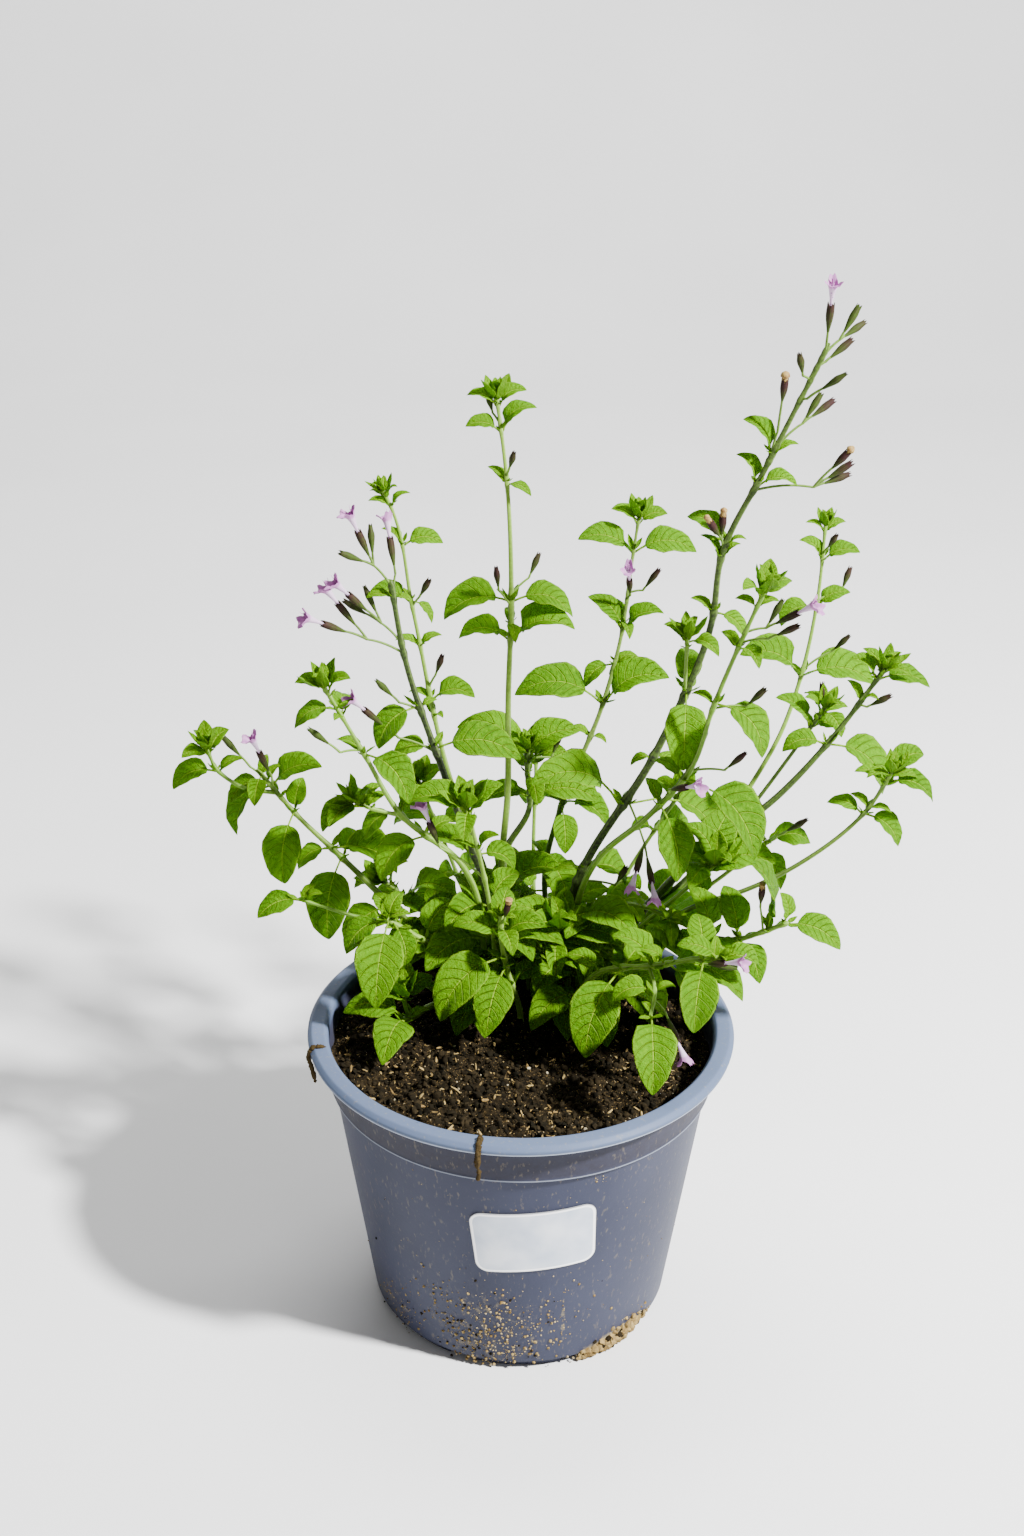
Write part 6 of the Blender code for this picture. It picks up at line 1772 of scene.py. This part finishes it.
class CALAMINT_OT_petals(bpy.types.Operator):
    """Two-lipped lilac petals in the mouth of each open calyx"""

    bl_idname = "calamint.petals"
    bl_label = "Petals"

    def execute(self, context):
        material = petal_material(context.scene.calamint_colours)
        nodes = [name for name in frame["nodes"] if name.startswith("corolla_")]
        corners = {name: cad_corners(name) for name in nodes}
        rng = np.random.default_rng(300)
        for name in SHOOTS:
            for flower in grown(name)[3]:
                if flower.kind != "open":
                    continue
                way = unit(flower.step)
                mouth = flower.fork + flower.step
                root = mouth + way * (SEAT + 0.05)
                node = min(nodes, key=lambda n: np.linalg.norm(corners[n] - root, axis=1).min())
                across = unit(np.cross(UP, way))
                shells = [petal_shell(mouth, way, across, rng)] + stamen_shells(mouth, way, across, rng)
                piece = make_piece(node.replace("corolla", "petals"), shells, [material])
                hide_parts(node)
        return {"FINISHED"}


class CALAMINT_OT_pot(bpy.types.Operator):
    """The moulded pot with rounded edges, foot gaps and drain holes"""

    bl_idname = "calamint.pot"
    bl_label = "Pot"

    def execute(self, context):
        material = pot_material(context.scene.calamint_colours)
        piece = make_piece("pot_body", [pot_shell()], [material], 40.0)
        drilled(piece)
        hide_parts("pot")
        return {"FINISHED"}


class CALAMINT_OT_label(bpy.types.Operator):
    """The bare sticker on the pot's wall"""

    bl_idname = "calamint.label"
    bl_label = "Label"

    def execute(self, context):
        material = label_material(context.scene.calamint_colours)
        piece = make_piece("label_sheet", [label_shell()], [material], 40.0)
        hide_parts("label")
        return {"FINISHED"}


class CALAMINT_OT_soil(bpy.types.Operator):
    """The bed of potting mix with loose crumbs, wood bits and grit on it"""

    bl_idname = "calamint.soil"
    bl_label = "Soil"

    def execute(self, context):
        colours = context.scene.calamint_colours
        sizes = context.scene.calamint_sizes
        bed = make_piece("soil_bed", [soil_shell()], [soil_material(colours)], 180.0)
        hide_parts("soil")
        rng = np.random.default_rng(sizes.seed)
        material = litter_material(colours)
        for name, setting, (least, most), shape, tone in LITTER:
            count = getattr(sizes, setting)
            radius = (RIM_INNER_RADIUS - LITTER_ROOM) * np.sqrt(rng.uniform(0, 1, count))
            turn = rng.uniform(0, math.tau, count)
            x, y = radius * np.cos(turn), radius * np.sin(turn)
            half = least + (most - least) * rng.uniform(0, 1, count) ** 2.5
            places = np.stack([x, y, soil_top(x, y) + 0.35 * half], axis=-1)
            halves = half[:, None] * np.array(shape) * rng.uniform(0.8, 1.25, (count, 3))
            shell = lump_shell(places, halves, np.full(count, tone), rng)
            piece = make_piece(name, [shell], [material], 50.0)
        return {"FINISHED"}


class CALAMINT_OT_dirt(bpy.types.Operator):
    """Crumbs of dried soil on the pot's wall and root threads over its rim"""

    bl_idname = "calamint.dirt"
    bl_label = "Dirt on the wall"

    def execute(self, context):
        rng = np.random.default_rng(context.scene.calamint_sizes.seed + 1)
        places, sizes, tones = [], [], []
        for x, z, wide, tall, count, most in DIRT_SPOTS:
            height = z + 0.5 * tall * rng.normal(size=count)
            across = np.clip(x + 0.5 * wide * rng.normal(size=count), -64, 64)
            radius = wall_radius(height)
            size = CRUMB_LEAST + (most - CRUMB_LEAST) * rng.uniform(0, 1, count) ** 2
            keep = (radius > np.abs(across) + 1.0) & (height > 0.3)
            height = np.maximum(height, 1.3 * size)
            depth = -np.sqrt(np.maximum(radius**2 - across**2, 0.0))
            places.append(np.stack([across, depth, height], axis=-1)[keep])
            sizes.append(np.repeat(size[:, None], 3, axis=1)[keep])
            pale = (rng.uniform(0, 1, count) > 0.5) & (size < PALE_BELOW)
            tones.append(np.select([pale, rng.uniform(0, 1, count) > 0.14], [0.76, 0.5], 0.0)[keep])
        places, sizes, tones = np.concatenate(places), np.concatenate(sizes), np.concatenate(tones)
        material = litter_material(context.scene.calamint_colours)
        piece = make_piece("wall_dirt", [lump_shell(places, sizes, tones, rng)], [material], 50.0)
        threads = make_piece("root_threads", [thread_shell(points, rng) for points in STRANDS], [material])
        return {"FINISHED"}


class CALAMINT_OT_stage(bpy.types.Operator):
    """Pale paper sweep, soft light from the right and the camera"""

    bl_idname = "calamint.stage"
    bl_label = "Stage"

    def execute(self, context):
        scene = context.scene
        half_wide, front, bend_at, bend, top = PAPER
        turn = np.linspace(0, 0.5 * np.pi, 13)
        y = np.concatenate([[front], bend_at + bend * np.sin(turn), [bend_at + bend]])
        z = np.concatenate([[0.0], bend - bend * np.cos(turn), [top]])
        x = np.array([-half_wide, half_wide])
        points = np.stack([np.tile(x, len(y)), np.repeat(y, 2), np.repeat(z, 2)], axis=-1)
        first = 2 * np.arange(len(y) - 1)[:, None]
        mesh = bpy.data.meshes.new("floor")
        mesh.from_pydata(points.tolist(), [], (first + np.array([0, 1, 3, 2])).tolist())
        mesh.materials.append(floor_material(scene.calamint_colours))
        mesh.shade_smooth()
        floor = bpy.data.objects.new("floor", mesh)
        scene.collection.objects.link(floor)
        world = bpy.data.worlds.new("studio")
        world.use_nodes = True
        background = world.node_tree.nodes["Background"]
        background.inputs["Color"].default_value = (1.0, 1.0, 1.0, 1.0)
        background.inputs["Strength"].default_value = WORLD_STRENGTH
        scene.world = world
        for name, place, aim, size, power in LIGHTS:
            light = bpy.data.lights.new(name, "AREA")
            light.shape = "DISK"
            light.size = size
            light.energy = power
            lamp = bpy.data.objects.new(name, light)
            lamp.location = place
            lamp.rotation_euler = (Vector(place) - Vector(aim)).to_track_quat("Z", "Y").to_euler()
            scene.collection.objects.link(lamp)
        view = bpy.data.cameras.new("view")
        view.sensor_fit = "VERTICAL"
        view.sensor_height = FILM
        view.lens = LENS
        camera = bpy.data.objects.new("view", view)
        lift = math.radians(VIEW_LIFT)
        place = (0.0, -VIEW_DISTANCE * math.cos(lift), VIEW_TARGET_HEIGHT + VIEW_DISTANCE * math.sin(lift))
        pose = Matrix.Translation(place)
        for angle, axis in ((VIEW_TURN, "Z"), (90 - VIEW_PITCH, "X"), (VIEW_ROLL, "Z")):
            pose = pose @ Matrix.Rotation(math.radians(angle), 4, axis)
        camera.matrix_world = pose
        scene.collection.objects.link(camera)
        scene.camera = camera
        return {"FINISHED"}


OPERATORS = (
    CALAMINT_OT_pot,
    CALAMINT_OT_soil,
    CALAMINT_OT_label,
    CALAMINT_OT_stalks,
    CALAMINT_OT_leaves,
    CALAMINT_OT_petals,
    CALAMINT_OT_dirt,
    CALAMINT_OT_stage,
)


class CALAMINT_PT_panel(bpy.types.Panel):
    """Lists the steps that build the dressed plant, and its settings"""

    bl_idname = "CALAMINT_PT_panel"
    bl_label = "Potted calamint"
    bl_space_type = "VIEW_3D"
    bl_region_type = "UI"
    bl_category = "Calamint"

    def draw(self, context):
        for operator in OPERATORS:
            self.layout.operator(operator.bl_idname)
        for settings in (context.scene.calamint_sizes, context.scene.calamint_colours):
            box = self.layout.box()
            for field in settings.__annotations__:
                box.prop(settings, field)


CLASSES = (CalamintColours, CalamintSizes) + OPERATORS + (CALAMINT_PT_panel,)


def register():
    for made in CLASSES:
        bpy.utils.register_class(made)
    bpy.types.Scene.calamint_colours = bpy.props.PointerProperty(type=CalamintColours)
    bpy.types.Scene.calamint_sizes = bpy.props.PointerProperty(type=CalamintSizes)


def unregister():
    del bpy.types.Scene.calamint_sizes
    del bpy.types.Scene.calamint_colours
    for made in reversed(CLASSES):
        bpy.utils.unregister_class(made)


def main():
    register()
    bpy.ops.calamint.pot()
    bpy.ops.calamint.soil()
    bpy.ops.calamint.label()
    bpy.ops.calamint.stalks()
    bpy.ops.calamint.leaves()
    bpy.ops.calamint.petals()
    bpy.ops.calamint.dirt()
    bpy.ops.calamint.stage()


if __name__ == "__main__":
    main()
